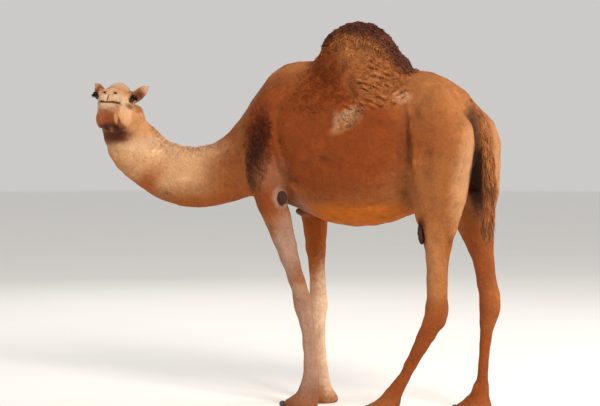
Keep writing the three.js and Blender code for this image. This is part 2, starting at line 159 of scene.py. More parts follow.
class CamelCoatSettings(bpy.types.PropertyGroup):
    # Tan also lightens the jaw's keel as a painted highlight.
    tan: colour("Tan", "Ground colour of the coat", (0.34, 0.112, 0.032))
    # Chestnut on the barrel is partly its own reddish brown and partly painted shade towards the
    # thigh.
    chestnut: colour("Chestnut", "Reddish brown of the barrel", (0.240, 0.047, 0.007))
    # Amber on the belly is partly its own orange brown and partly painted warm light reflected from
    # the ground.
    amber: colour("Amber", "Bright orange brown of the belly", (0.53, 0.130, 0.010))
    # Rust also paints shade on the head's right side and in the jaw's groove.
    rust: colour("Rust", "Orange brown of the throat, belly and chin", (0.36, 0.080, 0.010))
    # Russet also paints shade in the gaskin's groove and inside the ear's cup.
    russet: colour("Russet", "Deep orange brown of the hind shanks", (0.285, 0.062, 0.011))
    golden: colour("Golden", "Light tan of the rump, thigh and back", (0.46, 0.175, 0.056))
    # Pale on the upper neck is partly painted sunlight, and on the gaskin and the jaw's angles it is
    # a painted highlight.
    pale: colour("Pale", "Peachy tan of the upper neck and cheek", (0.62, 0.300, 0.130))
    # Peach on the crest is partly painted sunlight, and on the thighs' rear edge and the jaw's ridge
    # a painted highlight.
    peach: colour("Peach", "Sunny pale tan of the neck's crest and the cheek", (0.76, 0.430, 0.220))
    # Ivory is used only as the painted highlight down the edge of the right fore shank.
    ivory: colour("Ivory", "Palest hair, on the right fore shank", (0.90, 0.620, 0.420))
    # Cream is also the crest's painted sunlight and the loin's painted highlight.
    cream: colour("Cream", "Lightest hair, on the crown and lips", (0.68, 0.450, 0.290))
    mauve: colour("Mauve", "Greyish brown of the fore legs", (0.26, 0.100, 0.052))
    shank: colour("Shank", "Greyish tan of the fore shanks", (0.40, 0.225, 0.160))
    # Bark also paints shade along the mouth's corners and in the lip's cleft.
    bark: colour("Bark", "Dark brown of the wool", (0.125, 0.036, 0.020))
    # Umber also paints the shadow along the tail's left edge.
    umber: colour("Umber", "Deep brown of the hump's cap", (0.088, 0.025, 0.014))
    # Maroon is also painted shade: in front of the thighs, under the jaw and on the throat and neck
    # below it.
    maroon: colour("Maroon", "Dark red brown of the shoulder and throat", (0.075, 0.014, 0.006))
    # Soot is also painted shade: in the rump's cleft beside the tail, in the throat's hollows, the
    # mouth and the nostrils.
    soot: colour("Soot", "Near black of the lids, lashes and tail", (0.028, 0.012, 0.009))
    body_hair: length("Body hair", "Length of the body's short hair", 0.019)
    hump_wool: length("Hump wool", "Length of the hump's locks", 0.034)
    tail_hair: length("Tail hair", "Length of the tail's locks", 0.16)
    density: bpy.props.FloatProperty(
        name="Density", description="Share of the tufts that are grown", min=0.05, max=1, default=1
    )


class CamelStageSettings(bpy.types.PropertyGroup):
    floor: colour("Floor", "Colour of the floor", (0.90, 0.89, 0.87))
    key_power: bpy.props.FloatProperty(
        name="Key light", description="Power of the main light in watts", min=0, default=564
    )
    floor_radius: length("Floor radius", "Radius of the floor", 40)


# ---------------------------------------------------------------- mesh tools


def deselect_all():
    for o in bpy.context.view_layer.objects:
        o.select_set(False)


def make_active(o):
    deselect_all()
    o.select_set(True)
    bpy.context.view_layer.objects.active = o


def apply_modifier(o, kind, **values):
    make_active(o)
    modifier = o.modifiers.new(kind.lower(), kind)
    for key, value in values.items():
        setattr(modifier, key, value)
    bpy.ops.object.modifier_apply(modifier=modifier.name)


def edit(o, *steps, chosen=None):
    """Runs edit operators on the whole of a mesh, or on its chosen vertices."""
    mesh = o.data
    make_active(o)
    if chosen is not None:
        for items in (mesh.edges, mesh.polygons):
            items.foreach_set("select", np.zeros(len(items), bool))
        mesh.vertices.foreach_set("select", chosen)
    bpy.ops.object.mode_set(mode="EDIT")
    if chosen is None:
        bpy.ops.mesh.select_all(action="SELECT")
    else:
        bpy.ops.mesh.select_mode(type="VERT")
    for step in steps:
        step()
    bpy.ops.object.mode_set(mode="OBJECT")


def read(items, name, width, kind=np.float32):
    values = np.empty(len(items) * width, kind)
    items.foreach_get(name, values)
    return values.reshape(-1, width) if width > 1 else values


def places(mesh):
    return read(mesh.vertices, "co", 3).astype(float)


def set_places(mesh, co):
    mesh.vertices.foreach_set("co", co.astype(np.float32).ravel())
    mesh.update()


def normals(mesh):
    return read(mesh.vertices, "normal", 3).astype(float)


def store(mesh, name, values):
    """Keeps a number or a direction for each vertex."""
    whole = values.dtype.kind == "i"
    field, kind = ("vector", "FLOAT_VECTOR") if values.ndim == 2 else ("value", "FLOAT")
    data = mesh.attributes.new(name, "INT" if whole else kind, "POINT").data
    data.foreach_set(field, values.astype(np.int32 if whole else np.float32).ravel())


def repaint(mesh, material):
    mesh.materials.clear()
    mesh.materials.append(material)


def unit(v):
    return v / np.maximum(np.linalg.norm(v, axis=-1, keepdims=True), 1e-9)


def ramp(x, start, end):
    """0 at start, 1 at end, smooth between."""
    t = np.clip((x - start) / (end - start), 0, 1)
    return t * t * (3 - 2 * t)


class Neighbours:
    """Each vertex's mean over the vertices that share an edge with it."""

    def __init__(self, mesh):
        self.a, self.b = read(mesh.edges, "vertices", 2, np.int32).T
        self.count = len(mesh.vertices)
        self.degree = np.maximum(np.bincount(np.r_[self.a, self.b], minlength=self.count), 1)

    def mean(self, values):
        columns = values.reshape(self.count, -1)
        out = np.empty_like(columns)
        for k in range(columns.shape[1]):
            column = columns[:, k]
            out[:, k] = np.bincount(self.a, column[self.b], self.count)
            out[:, k] += np.bincount(self.b, column[self.a], self.count)
        return (out / self.degree[:, None]).reshape(values.shape)

    def smooth(self, values, steps, factor=0.6):
        for _ in range(steps):
            values = values + factor * (self.mean(values) - values)
        return values

    def smooth_keeping_size(self, co, steps, rounds):
        """Smooths away facets and gives back the size that smoothing takes from thin limbs."""
        out = self.smooth(co, steps)
        for _ in range(rounds):
            out = out + self.smooth(co - out, steps)
        return out

    def pieces(self):
        """The number of the piece that each vertex belongs to."""
        piece = np.arange(self.count)
        while True:
            low = np.minimum(piece[self.a], piece[self.b])
            joined = piece.copy()
            np.minimum.at(joined, piece[self.a], low)
            np.minimum.at(joined, piece[self.b], low)
            joined = joined[joined]
            if (joined == piece).all():
                return piece
            piece = joined


def family(node):
    """A node's entry in the tables that are set by body part."""
    for name in sorted(COAT_DEPTH, key=len, reverse=True):
        if node.startswith(name):
            return name
    raise ValueError(f"no body part for {node}")


FAMILIES = np.array([family(n) for n in FLESH])


def in_body(co):
    return co - ORIGIN


def in_head(co):
    return (co - np.array(EYE_MIDDLE)) @ HEAD_AXES


def head_to_row(points):
    return points @ HEAD_AXES.T + np.array(EYE_MIDDLE)


def folded(points):
    """Places with both sides laid over each other, so that a mark on one side is on the other too."""
    return np.abs(points * (0, 1, 0)) + points * (1, 0, 1)


def distance_to_line(points, line):
    """Each point's distance to a run of segments, and how far along it that lies, from 0 to 1."""
    best = np.full(len(points), np.inf)
    along = np.zeros(len(points))
    for i, (a, b) in enumerate(zip(line[:-1], line[1:])):
        d = b - a
        t = np.clip((points - a) @ d / (d @ d), 0, 1)
        gap = np.linalg.norm(points - (a + t[:, None] * d), axis=1)
        near = gap < best
        best[near] = gap[near]
        along[near] = (i + t[near]) / (len(line) - 1)
    return best, along


def wavy(points, scale, seed):
    """Smooth noise from a few crossed waves, from -1 to 1."""
    rng = np.random.default_rng(seed)
    total = np.zeros(len(points))
    waves = 7
    for _ in range(waves):
        way = unit(rng.normal(size=3))
        pace = rng.uniform(0.6, 1.6) / scale
        total += np.sin(2 * math.pi * (points @ way) * pace + rng.uniform(0, 2 * math.pi))
    return total / math.sqrt(waves)


# ---------------------------------------------------------------- the skin

VOXEL = 0.007  # the grid of the first closed shell
# The skin's folds and the edges of its muscles get painted shade in their hollows and a painted
# highlight on their ridges.
CREASE_DEPTH = 0.005  # the depth of fold that gets the full change of tone
SHALLOW = 0.40  # the share of that depth below which the tone stays as it is
MUSCLE_TONE = 0.25  # how much a muscle's edge darkens the coat, next to a fold
BODY_SHARE = 0.21  # of the remeshed triangles kept away from the head


def node_finder():
    """Finds the CAD node nearest to a point."""
    vertices, faces, owner = [], [], []
    for number, node in enumerate(FLESH):
        mesh = frame["nodes"][node].data
        start = len(vertices)
        vertices += [v.co.copy() for v in mesh.vertices]
        for face in mesh.polygons:
            faces.append([start + k for k in face.vertices])
            owner.append(number)
    tree = BVHTree.FromPolygons(vertices, faces)
    return lambda co: np.array([owner[tree.find_nearest(p)[2]] for p in co])


def flesh_shell():
    """The flesh nodes as one closed mesh with no gaps between them."""
    deselect_all()
    for node in FLESH:
        o = bpy.data.objects.new("flesh_" + node, frame["nodes"][node].data.copy())
        bpy.context.scene.collection.objects.link(o)
        o.select_set(True)
        bpy.context.view_layer.objects.active = o
    bpy.ops.object.join()
    skin = bpy.context.object
    skin.name = "skin"
    bridge = 0.0008  # closes the gaps between nodes
    edit(
        skin,
        lambda: bpy.ops.mesh.remove_doubles(threshold=1e-5),
        lambda: bpy.ops.transform.shrink_fatten(value=bridge),
    )
    apply_modifier(skin, "REMESH", mode="VOXEL", voxel_size=VOXEL)
    return skin


def keep_largest(o):
    piece = Neighbours(o.data).pieces()
    edit(o, lambda: bpy.ops.mesh.delete(type="VERT"), chosen=piece != np.bincount(piece).argmax())


def subdivide_where(o, chosen):
    """Subdivides the faces whose vertices are all chosen."""
    edit(
        o,
        lambda: bpy.ops.mesh.subdivide(number_cuts=1),
        lambda: bpy.ops.mesh.select_all(action="SELECT"),
        lambda: bpy.ops.mesh.quads_convert_to_tris(),
        chosen=chosen,
    )


# The way that the hair points on the parts where it has one way. It falls straight down on the
# tail's tuft, and on the hump, neck, head and ears it is worked out from their shape.
WAYS = {
    "trunk": (0.86, 0, -0.42),
    "upper_arm": (0.25, 0, -1),
    "forearm": (0.22, 0, -1),
    "fore_shank": (0.08, 0, -1),
    "fore_foot": (-0.5, 0, -0.8),
    "thigh": (0.22, 0, -1),
    "gaskin": (-0.05, 0, -1),
    "hind_shank": (-0.2, 0, -1),
    "hind_foot": (-0.6, 0, -0.8),
    "tail_dock": (0.12, 0, -1),
}


def lie_of_coat(co, find):
    """The way that the hair points at each place, before it is laid on the surface."""
    body = in_body(co)
    numbers = find(co)
    ways = np.array([WAYS.get(name, (0, 0, -1)) for name in FAMILIES], float)[numbers]
    names = FAMILIES[numbers]
    hump = names == "hump"
    ways[hump] = unit(body[hump] - HUMP_APEX) + np.array((0.15, 0, -0.5))
    neck = names == "neck"
    tangents = np.gradient(NECK_LINE, axis=0)
    _, along = distance_to_line(body[neck], NECK_LINE)
    step = np.rint(along * (len(NECK_LINE) - 1)).astype(int)
    ways[neck] = unit(tangents[step]) + np.array((0, 0, -0.25))
    head = np.isin(names, ("head", "lower_jaw"))
    ways[head] = np.array((0, 0, -0.15)) - HEAD_AXES[:, 0]
    for hand in ("left", "right"):
        ear = numbers == FLESH.index(f"ear_{hand}")
        out = np.array(centre(f"ear_{hand}")) - np.array(centre("head"))
        ways[ear] = unit(out + np.array((0, 0, 0.02)))
    return unit(ways)


# ---------------------------------------------------------------- sculpting


def press(co, out, line, wide, high, back=0.0, fade=0.3):
    """Raises a rounded ridge along a line in the side view, or sinks a groove if `high` is below 0.

    The line is given on the left side as (x, z). `back` moves it back on the right side, and `fade`
    is the share of the line over which each end dies away."""
    body = in_body(co)
    body[body[:, 1] > 0, 0] -= back
    gap, along = distance_to_line(body[:, [0, 2]], np.array(line, float))
    weight = np.exp(-((gap / wide) ** 2))
    weight *= ramp(along, 0, fade) * ramp(along, 1, 1 - fade)
    # Only a surface that faces sideways takes the mark.
    weight *= ramp(np.abs(out[:, 1]), 0.15, 0.5)
    return co + out * (high * weight)[:, None]


RIB_SPACING = 0.062

# Ridges of loose skin behind and below the hump, as (x, z) on either side.
FOLDS = [
    [(0.137, 1.722), (0.184, 1.702), (0.228, 1.682), (0.280, 1.655), (0.322, 1.642)],
    [(0.114, 1.755), (0.169, 1.734), (0.222, 1.721), (0.260, 1.701)],
    [(0.153, 1.793), (0.206, 1.779), (0.256, 1.766), (0.303, 1.753)],
    [(0.129, 1.683), (0.188, 1.656), (0.254, 1.630), (0.318, 1.607)],
    [(0.061, 1.671), (0.139, 1.637), (0.211, 1.617), (0.282, 1.597)],
    [(0.255, 1.792), (0.302, 1.773), (0.346, 1.754)],
    [(0.405, 1.720), (0.375, 1.694), (0.343, 1.668), (0.322, 1.642)],
    [(0.405, 1.681), (0.362, 1.642), (0.327, 1.623)],
    [(0.177, 1.825), (0.229, 1.812), (0.275, 1.806)],
    [(0.058, 1.631), (0.120, 1.604), (0.191, 1.591)],
    [(0.200, 1.745), (0.245, 1.735), (0.290, 1.722), (0.330, 1.700)],
    [(0.180, 1.855), (0.225, 1.850), (0.262, 1.838)],
]


def in_folds(body):
    """The parts of the body whose folds are too narrow for its ordinary faces."""
    x, y, z = folded(body).T
    loose = (x > 0.03) & (x < 0.42) & (z > 1.575) & (z < 1.87) & (y > 0.05)
    crest = (x > -1.10) & (x < -0.76) & (z > 1.285) & (z < 1.42) & (y < 0.075)
    return loose | crest


def in_features(h):
    """The parts of the head whose forms are too narrow for its ordinary faces."""
    x, y, z = folded(h).T
    eyes = (np.linalg.norm(folded(h) - (0, EYE_SPREAD, 0), axis=1) < 0.038) & (y > 0.075)
    lips = (x > 0.10) & (x < 0.30) & (np.abs(z - MOUTH_HEIGHT - 0.009) < 0.025)
    nose = (x > 0.205) & (x < 0.30) & (z > -0.10) & (y < 0.08)
    return eyes | lips | nose


def sculpt_muscles(mesh, numbers):
    """Edges of muscles and tendons, and the ribs."""
    co = places(mesh)
    out = normals(mesh)
    marks = [
        # line, width, height, shift of the right side, fade
        ([(-0.515, 1.377), (-0.472, 1.281), (-0.433, 1.148)], 0.012, -0.009, 0.05, 0.3),
        ([(-0.335, 1.60), (-0.288, 1.44), (-0.252, 1.351), (-0.225, 1.262), (-0.227, 1.15)],
         0.012, -0.012, 0.05, 0.35),
        ([(-0.365, 1.60), (-0.318, 1.44), (-0.282, 1.351), (-0.255, 1.262), (-0.257, 1.15)],
         0.022, 0.006, 0.05, 0.35),
        ([(-0.37, 1.72), (-0.40, 1.56), (-0.43, 1.42), (-0.40, 1.28)], 0.045, 0.010, 0.05, 0.3),
        ([(-0.30, 1.16), (-0.36, 1.24), (-0.42, 1.30)], 0.022, -0.006, 0.05, 0.3),
        ([(-0.049, 1.133), (0.005, 1.107), (0.124, 1.083), (0.256, 1.089), (0.355, 1.105),
          (0.428, 1.121)], 0.007, -0.006, 0.0, 0.2),
        ([(0.366, 1.698), (0.392, 1.635), (0.44, 1.496), (0.465, 1.328), (0.476, 1.114)],
         0.017, -0.010, 0.04, 0.3),
        ([(0.392, 1.698), (0.418, 1.635), (0.466, 1.496), (0.491, 1.328), (0.502, 1.114)],
         0.020, 0.008, 0.04, 0.25),
        ([(0.42, 1.65), (0.47, 1.50), (0.50, 1.33), (0.51, 1.14)], 0.030, 0.010, 0.04, 0.25),
        ([(0.72, 1.42), (0.712, 1.304), (0.695, 1.244), (0.674, 1.08)], 0.020, -0.005, 0.04, 0.3),
        ([(0.752, 1.379), (0.743, 1.177), (0.712, 1.051)], 0.020, 0.005, 0.04, 0.3),
        ([(0.40, 1.72), (0.50, 1.735), (0.62, 1.66), (0.70, 1.58)], 0.040, 0.010, 0.02, 0.3),
        ([(0.545, 0.98), (0.590, 0.86), (0.595, 0.72), (0.575, 0.60)], 0.020, 0.004, 0.04, 0.25),
        ([(0.615, 0.92), (0.625, 0.78), (0.612, 0.62)], 0.012, -0.004, 0.04, 0.3),
        ([(-0.30, 1.05), (-0.25, 0.88), (-0.20, 0.72)], 0.016, -0.003, 0.03, 0.3),
        ([(-0.158, 0.53), (-0.150, 0.40), (-0.136, 0.21)], 0.006, -0.004, -0.042, 0.25),
        ([(-0.182, 0.53), (-0.176, 0.40), (-0.160, 0.21)], 0.009, 0.003, -0.042, 0.25),
        ([(-0.33, 1.02), (-0.29, 0.90), (-0.24, 0.76)], 0.018, 0.005, 0.03, 0.3),
    ]
    for line, wide, high, back, fade in marks:
        co = press(co, out, line, wide, high, back, fade)
    body = in_body(co)
    trunk = np.isin(FAMILIES[numbers], ("trunk", "hump"))
    # Ribs show faintly behind the shoulder.
    lean = body[:, 0] + 0.25 * (body[:, 2] - 1.3)
    rib = np.sin(2 * math.pi * lean / RIB_SPACING)
    where = np.exp(-(((body[:, 0] - 0.06) / 0.24) ** 2) - ((body[:, 2] - 1.36) / 0.17) ** 2)
    co = co + out * (0.0022 * rib * where * trunk)[:, None]
    set_places(mesh, co)


def sculpt_folds(mesh, numbers):
    """Loose skin, wrinkles and the hump's lumps."""
    co = places(mesh)
    out = normals(mesh)
    body = in_body(co)
    names = FAMILIES[numbers]
    # Loose skin gathers in ridges, each with a crease below it.
    broken = 0.55 + 0.55 * wavy(body, 0.045, SEED + 1)
    bent = co.copy()
    for line in FOLDS:
        bent = press(bent, out, line, 0.0080, 0.0110)
        bent = press(bent, out, [(x + 0.004, z - 0.014) for x, z in line], 0.0062, -0.0095)
    wrinkled = wavy(body * (1, 1, 2.2), 0.026, SEED + 5) * marked_share("folds", co) * 0.0030
    co = co + (bent - co) * np.clip(broken, 0, 1.3)[:, None] + out * wrinkled[:, None]
    # The hump's wool overhangs a notch in front, so the skin is cut back there.
    notch = np.linalg.norm((body - (-0.165, 0, 1.905)) / (0.055, 0.16, 0.045), axis=1)
    co = co - out * (0.014 * ramp(notch, 1.3, 0.2))[:, None]
    lumps = wavy(body, 0.045, SEED + 4) * marked_share("hump cap", co)
    co = co + out * (0.0035 * lumps * ramp(body[:, 2], 1.85, 1.92))[:, None]
    # The neck wrinkles across its upper edge where it dips.
    _, along = distance_to_line(body, NECK_LINE)
    top = ramp(body[:, 2], 1.28, 1.37)
    wrinkle = np.sin(2 * math.pi * along * (len(NECK_LINE) - 1) / 0.20)
    band = ramp(along, 0.22, 0.34) * ramp(along, 0.86, 0.72)
    co = co + out * (0.0028 * wrinkle * top * band * (names == "neck"))[:, None]
    # The knees and pasterns wrinkle across.
    knee = np.exp(-(((body[:, 2] - 0.60) / 0.05) ** 2)) * (names == "forearm")
    knee = knee + np.exp(-(((body[:, 2] - 0.56) / 0.05) ** 2)) * (names == "fore_shank")
    pastern = np.exp(-(((body[:, 2] - 0.085) / 0.035) ** 2))
    across = np.sin(2 * math.pi * (body[:, 2] + 0.006 * wavy(body, 0.06, SEED + 6)) / 0.019)
    across = across * (0.5 + 0.5 * wavy(body, 0.03, SEED + 7))
    co = co + out * ((0.0018 * knee + 0.0013 * pastern) * across)[:, None]
    # Everywhere the surface is a little uneven.
    rough = wavy(body, 0.13, SEED + 2) * 0.0018 + wavy(body, 0.05, SEED + 3) * 0.0007
    soft_parts = ~np.isin(names, ("head", "lower_jaw", "ear"))
    co = co + out * (rough * soft_parts)[:, None]
    set_places(mesh, co)


# How the muzzle turns to the head's left: from and to where along the head, and how far. The shift
# is in metres, and the tilt is metres for each metre above the mouth.
MUZZLE_SHIFT = (0.04, 0.20, 0.008)
MUZZLE_TILT = (0.12, 0.21, 0.16)


def muzzle_swing(h):
    shift, tilt = (amount * ramp(h[:, 0], *ends) for *ends, amount in (MUZZLE_SHIFT, MUZZLE_TILT))
    return shift + tilt * (h[:, 2] - MOUTH_HEIGHT)


def front_groove(h, line, wide, high):
    """A groove in the front of the muzzle along a line of (y, z), mirrored."""
    flat = np.stack([np.abs(h[:, 1]), h[:, 2]], axis=1)
    gap, _ = distance_to_line(flat, np.array(line, float))
    return high * np.exp(-((gap / wide) ** 2)) * ramp(h[:, 0], 0.20, 0.235)


def bump_at(points, at, size, high):
    """A rounded swelling, or a hollow if `high` is below 0, mirrored across the head."""
    away = (folded(points) - np.array(at)) / np.array(size)
    return high * np.exp(-(away**2).sum(1))


def groove_at(points, line, wide, high):
    """A groove along a line, or a ridge if `high` is above 0, mirrored across the head."""
    gap, along = distance_to_line(folded(points), np.array(line, float))
    return high * np.exp(-((gap / wide) ** 2)) * (0.35 + 0.65 * np.sin(math.pi * along))


def sculpt_face(mesh, numbers):
    """Bones, lips, mouth, nostrils and lids."""
    co = places(mesh)
    out = normals(mesh)
    h = in_head(co)
    of_head = np.isin(FAMILIES[numbers], ("head", "lower_jaw"))
    high = np.zeros(len(co))
    swellings = [
        # place, size, height
        ((0.020, 0.088, 0.032), (0.030, 0.016, 0.012), 0.008),  # brow
        ((0.055, 0.070, -0.040), (0.055, 0.030, 0.013), 0.006),  # cheek bone
        ((0.170, 0.000, -0.004), (0.075, 0.020, 0.024), 0.009),  # bridge of the nose
        ((0.075, 0.040, 0.020), (0.030, 0.018, 0.016), -0.005),  # hollow before the eye
        ((0.130, 0.050, -0.020), (0.050, 0.016, 0.016), -0.005),  # hollow beside the nose
        ((-0.055, 0.075, 0.045), (0.030, 0.020, 0.020), -0.007),  # hollow of the temple
        ((-0.070, 0.085, -0.110), (0.040, 0.030, 0.040), 0.006),  # muscle of the jaw
        ((0.095, 0.060, -0.080), (0.045, 0.018, 0.014), -0.005),  # behind the lips
        ((0.258, 0.025, -0.072), (0.024, 0.017, 0.017), 0.010),  # upper lip's lobe
        ((0.210, 0.050, -0.070), (0.035, 0.016, 0.016), 0.005),  # upper lip's side
        ((0.245, 0.016, -0.112), (0.020, 0.022, 0.009), 0.007),  # lower lip
        ((0.205, 0.014, -0.138), (0.026, 0.022, 0.012), 0.005),  # chin
        ((0.110, 0.000, -0.150), (0.090, 0.020, 0.022), -0.011),  # between the jaw's bars
        ((0.080, 0.052, -0.128), (0.085, 0.013, 0.013), 0.007),  # the jaw's bars
        ((0.236, 0.036, -0.028), (0.018, 0.014, 0.009), 0.005),  # wing of the nostril
        ((0.022, 0.090, -0.047), (0.028, 0.014, 0.009), -0.006),  # hollow below the eye
        ((-0.005, 0.031, -0.166), (0.036, 0.012, 0.014), -0.010),  # hollows of the throat
        ((-0.057, 0.072, -0.160), (0.020, 0.014, 0.012), 0.004),  # angle of the jaw
    ]
    for at, size, height in swellings:
        high += bump_at(h, at, size, height)
    lip = MOUTH_HEIGHT
    grooves = [
        # line, width, height
        ([(0.240, 0.045, lip + 0.007), (0.220, 0.056, lip + 0.012), (0.170, 0.062, lip + 0.018),
          (0.112, 0.066, lip + 0.026)], 0.0046, -0.0125),
        ([(0.190, 0.052, -0.108), (0.140, 0.058, -0.120), (0.085, 0.066, -0.126)], 0.008, -0.0045),
        ([(0.090, 0.044, -0.130), (0.030, 0.046, -0.145), (-0.015, 0.050, -0.156)], 0.006, -0.0055),
        ([(0.150, 0.028, -0.128), (0.092, 0.031, -0.139), (0.035, 0.035, -0.150)], 0.007, 0.0050),
        ([(0.112, 0.066, lip + 0.026), (0.100, 0.064, lip + 0.006), (0.098, 0.058, lip - 0.014)],
         0.0050, -0.0050),
        ([(0.040, 0.086, -0.034), (0.060, 0.074, -0.050), (0.080, 0.066, -0.052)], 0.005, -0.0040),
    ]
    for line, wide, height in grooves:
        high += groove_at(h, line, wide, height)
    front_grooves = [
        # line, width, height: the mouth, the lip's cleft, the nostril and below the lower lip
        ([(0.0, lip), (0.02, lip + 0.001), (0.05, lip + 0.009)], 0.0042, -0.0130),
        ([(0.0, lip), (0.0, -0.050)], 0.0038, -0.0085),
        ([(0.017, -0.049), (0.027, -0.041), (0.037, -0.038)], 0.0036, -0.0125),
        ([(0.0, -0.118), (0.030, -0.120)], 0.0060, -0.0030),
    ]
    for line, wide, height in front_grooves:
        high += front_groove(h, line, wide, height)
    co = co + out * (high * of_head)[:, None]
    # The muzzle is turned a little to its left.
    h = in_head(co)
    h[:, 1] += muzzle_swing(h) * of_head
    set_places(mesh, shape_lids(head_to_row(h), of_head))


# Half the length of the eye's opening, and its height above and below the middle.
LID_LENGTH = 0.020
LID_ABOVE = 0.0085
LID_BELOW = 0.0080


def eye_axes(side):
    """The eye's outward, forward and upward directions in the head's frame."""
    outward = unit(np.array((0.34, side * 0.93, 0.03)))
    up = unit(np.array((0.0, 0.0, 1.0)) - outward * outward[2])
    forward = np.cross(up, outward) * side * -1
    if forward[0] < 0:
        forward = -forward
    return outward, forward, up


def shape_lids(co, of_head):
    """Lays the skin over each eye as lids, and sinks it behind the eye inside the opening."""
    h = in_head(co)
    for side in (1, -1):
        eye = np.array((0.0, side * EYE_SPREAD, 0.0))
        outward, forward, up = eye_axes(side)
        away = h - eye
        reach = np.linalg.norm(away, axis=1)
        ray = unit(away)
        facing = ray @ outward
        ahead = ray @ forward * EYE_RADIUS
        above = ray @ up * EYE_RADIUS
        tall = np.where(above > 0, LID_ABOVE, LID_BELOW)
        opening = (np.abs(ahead) / LID_LENGTH) ** 2 + (np.abs(above) / tall) ** 1.7
        inside = ramp(opening, 1.12, 0.86)
        lid = EYE_RADIUS + 0.0030 + 0.0022 * np.exp(-(((opening - 1.5) / 0.42) ** 2))
        fold = np.exp(-(((above - 0.0155) / 0.0022) ** 2)) * (above > 0)
        lid = lid - 0.0026 * fold
        target = lid * (1 - inside) + (EYE_RADIUS - 0.006) * inside
        # The lids blend into the face a little way out from the eye.
        near = ramp(facing, 0.12, 0.55) * ramp(reach, EYE_RADIUS * 2.3, EYE_RADIUS * 1.35)
        weight = near * of_head
        new_reach = reach * (1 - weight) + target * weight
        h = eye + ray * new_reach[:, None]
    return head_to_row(h)


class CAMEL_OT_skin(bpy.types.Operator):
    """Builds one skin over all the flesh"""

    bl_idname = "camel.skin"
    bl_label = "Skin"

    def execute(self, context):
        find = node_finder()
        skin = flesh_shell()
        keep_largest(skin)
        mesh = skin.data
        co = places(mesh)
        around = Neighbours(mesh)
        numbers = find(co)
        names = FAMILIES[numbers]
        # The shell's facets are smoothed away, less on the head and feet.
        fine = np.isin(names, ("head", "lower_jaw", "ear")).astype(float)
        foot = np.isin(names, ("fore_foot", "hind_foot")).astype(float)
        gentle = around.smooth(np.maximum(fine, 0.7 * foot), 12)[:, None]
        coarse = around.smooth_keeping_size(co, 60, 6)
        light = around.smooth_keeping_size(co, 14, 2)
        co = coarse * (1 - gentle) + light * gentle
        set_places(mesh, co)
        # The skin sinks by the depth of the coat, but not at the soles.
        depth = around.smooth(np.array([COAT_DEPTH[name] for name in FAMILIES])[numbers], 30)
        sole = ramp(co[:, 2], 0.004, 0.03)
        co = co - normals(mesh) * (depth * sole)[:, None]
        co[:, 2] = np.maximum(co[:, 2], 0)
        set_places(mesh, co)
        # The body keeps fewer faces than the head, and narrow forms then get smaller ones.
        body = skin.vertex_groups.new(name="body")
        away = around.smooth(fine, 6) < 0.3
        body.add(np.nonzero(away)[0].tolist(), 1.0, "REPLACE")
        apply_modifier(
            skin, "DECIMATE", ratio=BODY_SHARE, vertex_group="body", vertex_group_factor=10
        )
        skin.vertex_groups.clear()
        subdivide_where(skin, np.isin(FAMILIES[find(places(mesh))], ("head", "lower_jaw")))
        for _ in range(2):
            subdivide_where(skin, in_folds(in_body(places(mesh))))
        subdivide_where(skin, in_features(in_head(places(mesh))))
        around = Neighbours(mesh)
        numbers = find(places(mesh))
        face = np.isin(FAMILIES[numbers], ("head", "lower_jaw"))
        relaxed = around.smooth_keeping_size(places(mesh), 8, 2)
        set_places(mesh, np.where(face[:, None], relaxed, places(mesh)))
        # How far each place is sculpted inwards or outwards, next to its surroundings, is kept, to
        # paint shade in its hollows and a highlight on its ridges.
        plain, plain_out = places(mesh), normals(mesh)
        sculpt_muscles(mesh, numbers)
        muscled = places(mesh)
        sculpt_folds(mesh, numbers)
        sculpt_face(mesh, numbers)
        sculpted = places(mesh)
        sculpted[:, 2] = np.maximum(sculpted[:, 2], 0.0)
        set_places(mesh, sculpted)
        relief = ((sculpted - muscled + MUSCLE_TONE * (muscled - plain)) * plain_out).sum(1)
        relief = (relief - around.smooth(relief, 30)) / CREASE_DEPTH
        steep = (np.abs(relief) - SHALLOW) / (1 - SHALLOW)
        store(mesh, "relief", np.sign(relief) * np.clip(steep, 0, 1))
        # Hair lies along the surface.
        lie = around.smooth(lie_of_coat(places(mesh), find), 25)
        out = normals(mesh)
        lie = unit(lie - out * (lie * out).sum(1, keepdims=True))
        store(mesh, "lie", lie)
        store(mesh, "part", numbers)
        unwrap = 1.25  # radians between faces of one island
        edit(skin, lambda: bpy.ops.uv.smart_project(angle_limit=unwrap, island_margin=0.001))
        mesh.uv_layers[0].name = "OFBake"
        mesh.shade_smooth()
        repaint(mesh, skin_material())
        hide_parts(*FLESH)
        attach(skin, "root")
        return {"FINISHED"}


# ---------------------------------------------------------------- markings and materials


def settings():
    return bpy.context.scene.camel_coat


def plug(tree, socket, value):
    """Gives a socket a value, or a link from another socket."""
    if isinstance(value, bpy.types.NodeSocket):
        tree.links.new(value, socket)
    else:
        socket.default_value = value


def add(tree, kind, inputs=None, **values):
    """A node with its settings, and its inputs by name or number."""
    node = tree.nodes.new(kind)
    for key, value in values.items():
        setattr(node, key, value)
    for key, value in (inputs or {}).items():
        plug(tree, node.inputs[key], value)
    return node


def mix(tree, factor, a, b, blend="MIX"):
    inputs = {0: factor, 6: a, 7: b}
    return add(tree, "ShaderNodeMix", inputs, data_type="RGBA", blend_type=blend).outputs[2]


def maths(tree, operation, *values):
    return add(tree, "ShaderNodeMath", dict(enumerate(values)), operation=operation).outputs[0]


def scaled(tree, vector, factor):
    """A vector or a colour, times a number."""
    inputs = {0: vector, "Scale": factor}
    return add(tree, "ShaderNodeVectorMath", inputs, operation="SCALE").outputs[0]


def length_of(tree, vector):
    return add(tree, "ShaderNodeVectorMath", {0: vector}, operation="LENGTH").outputs["Value"]


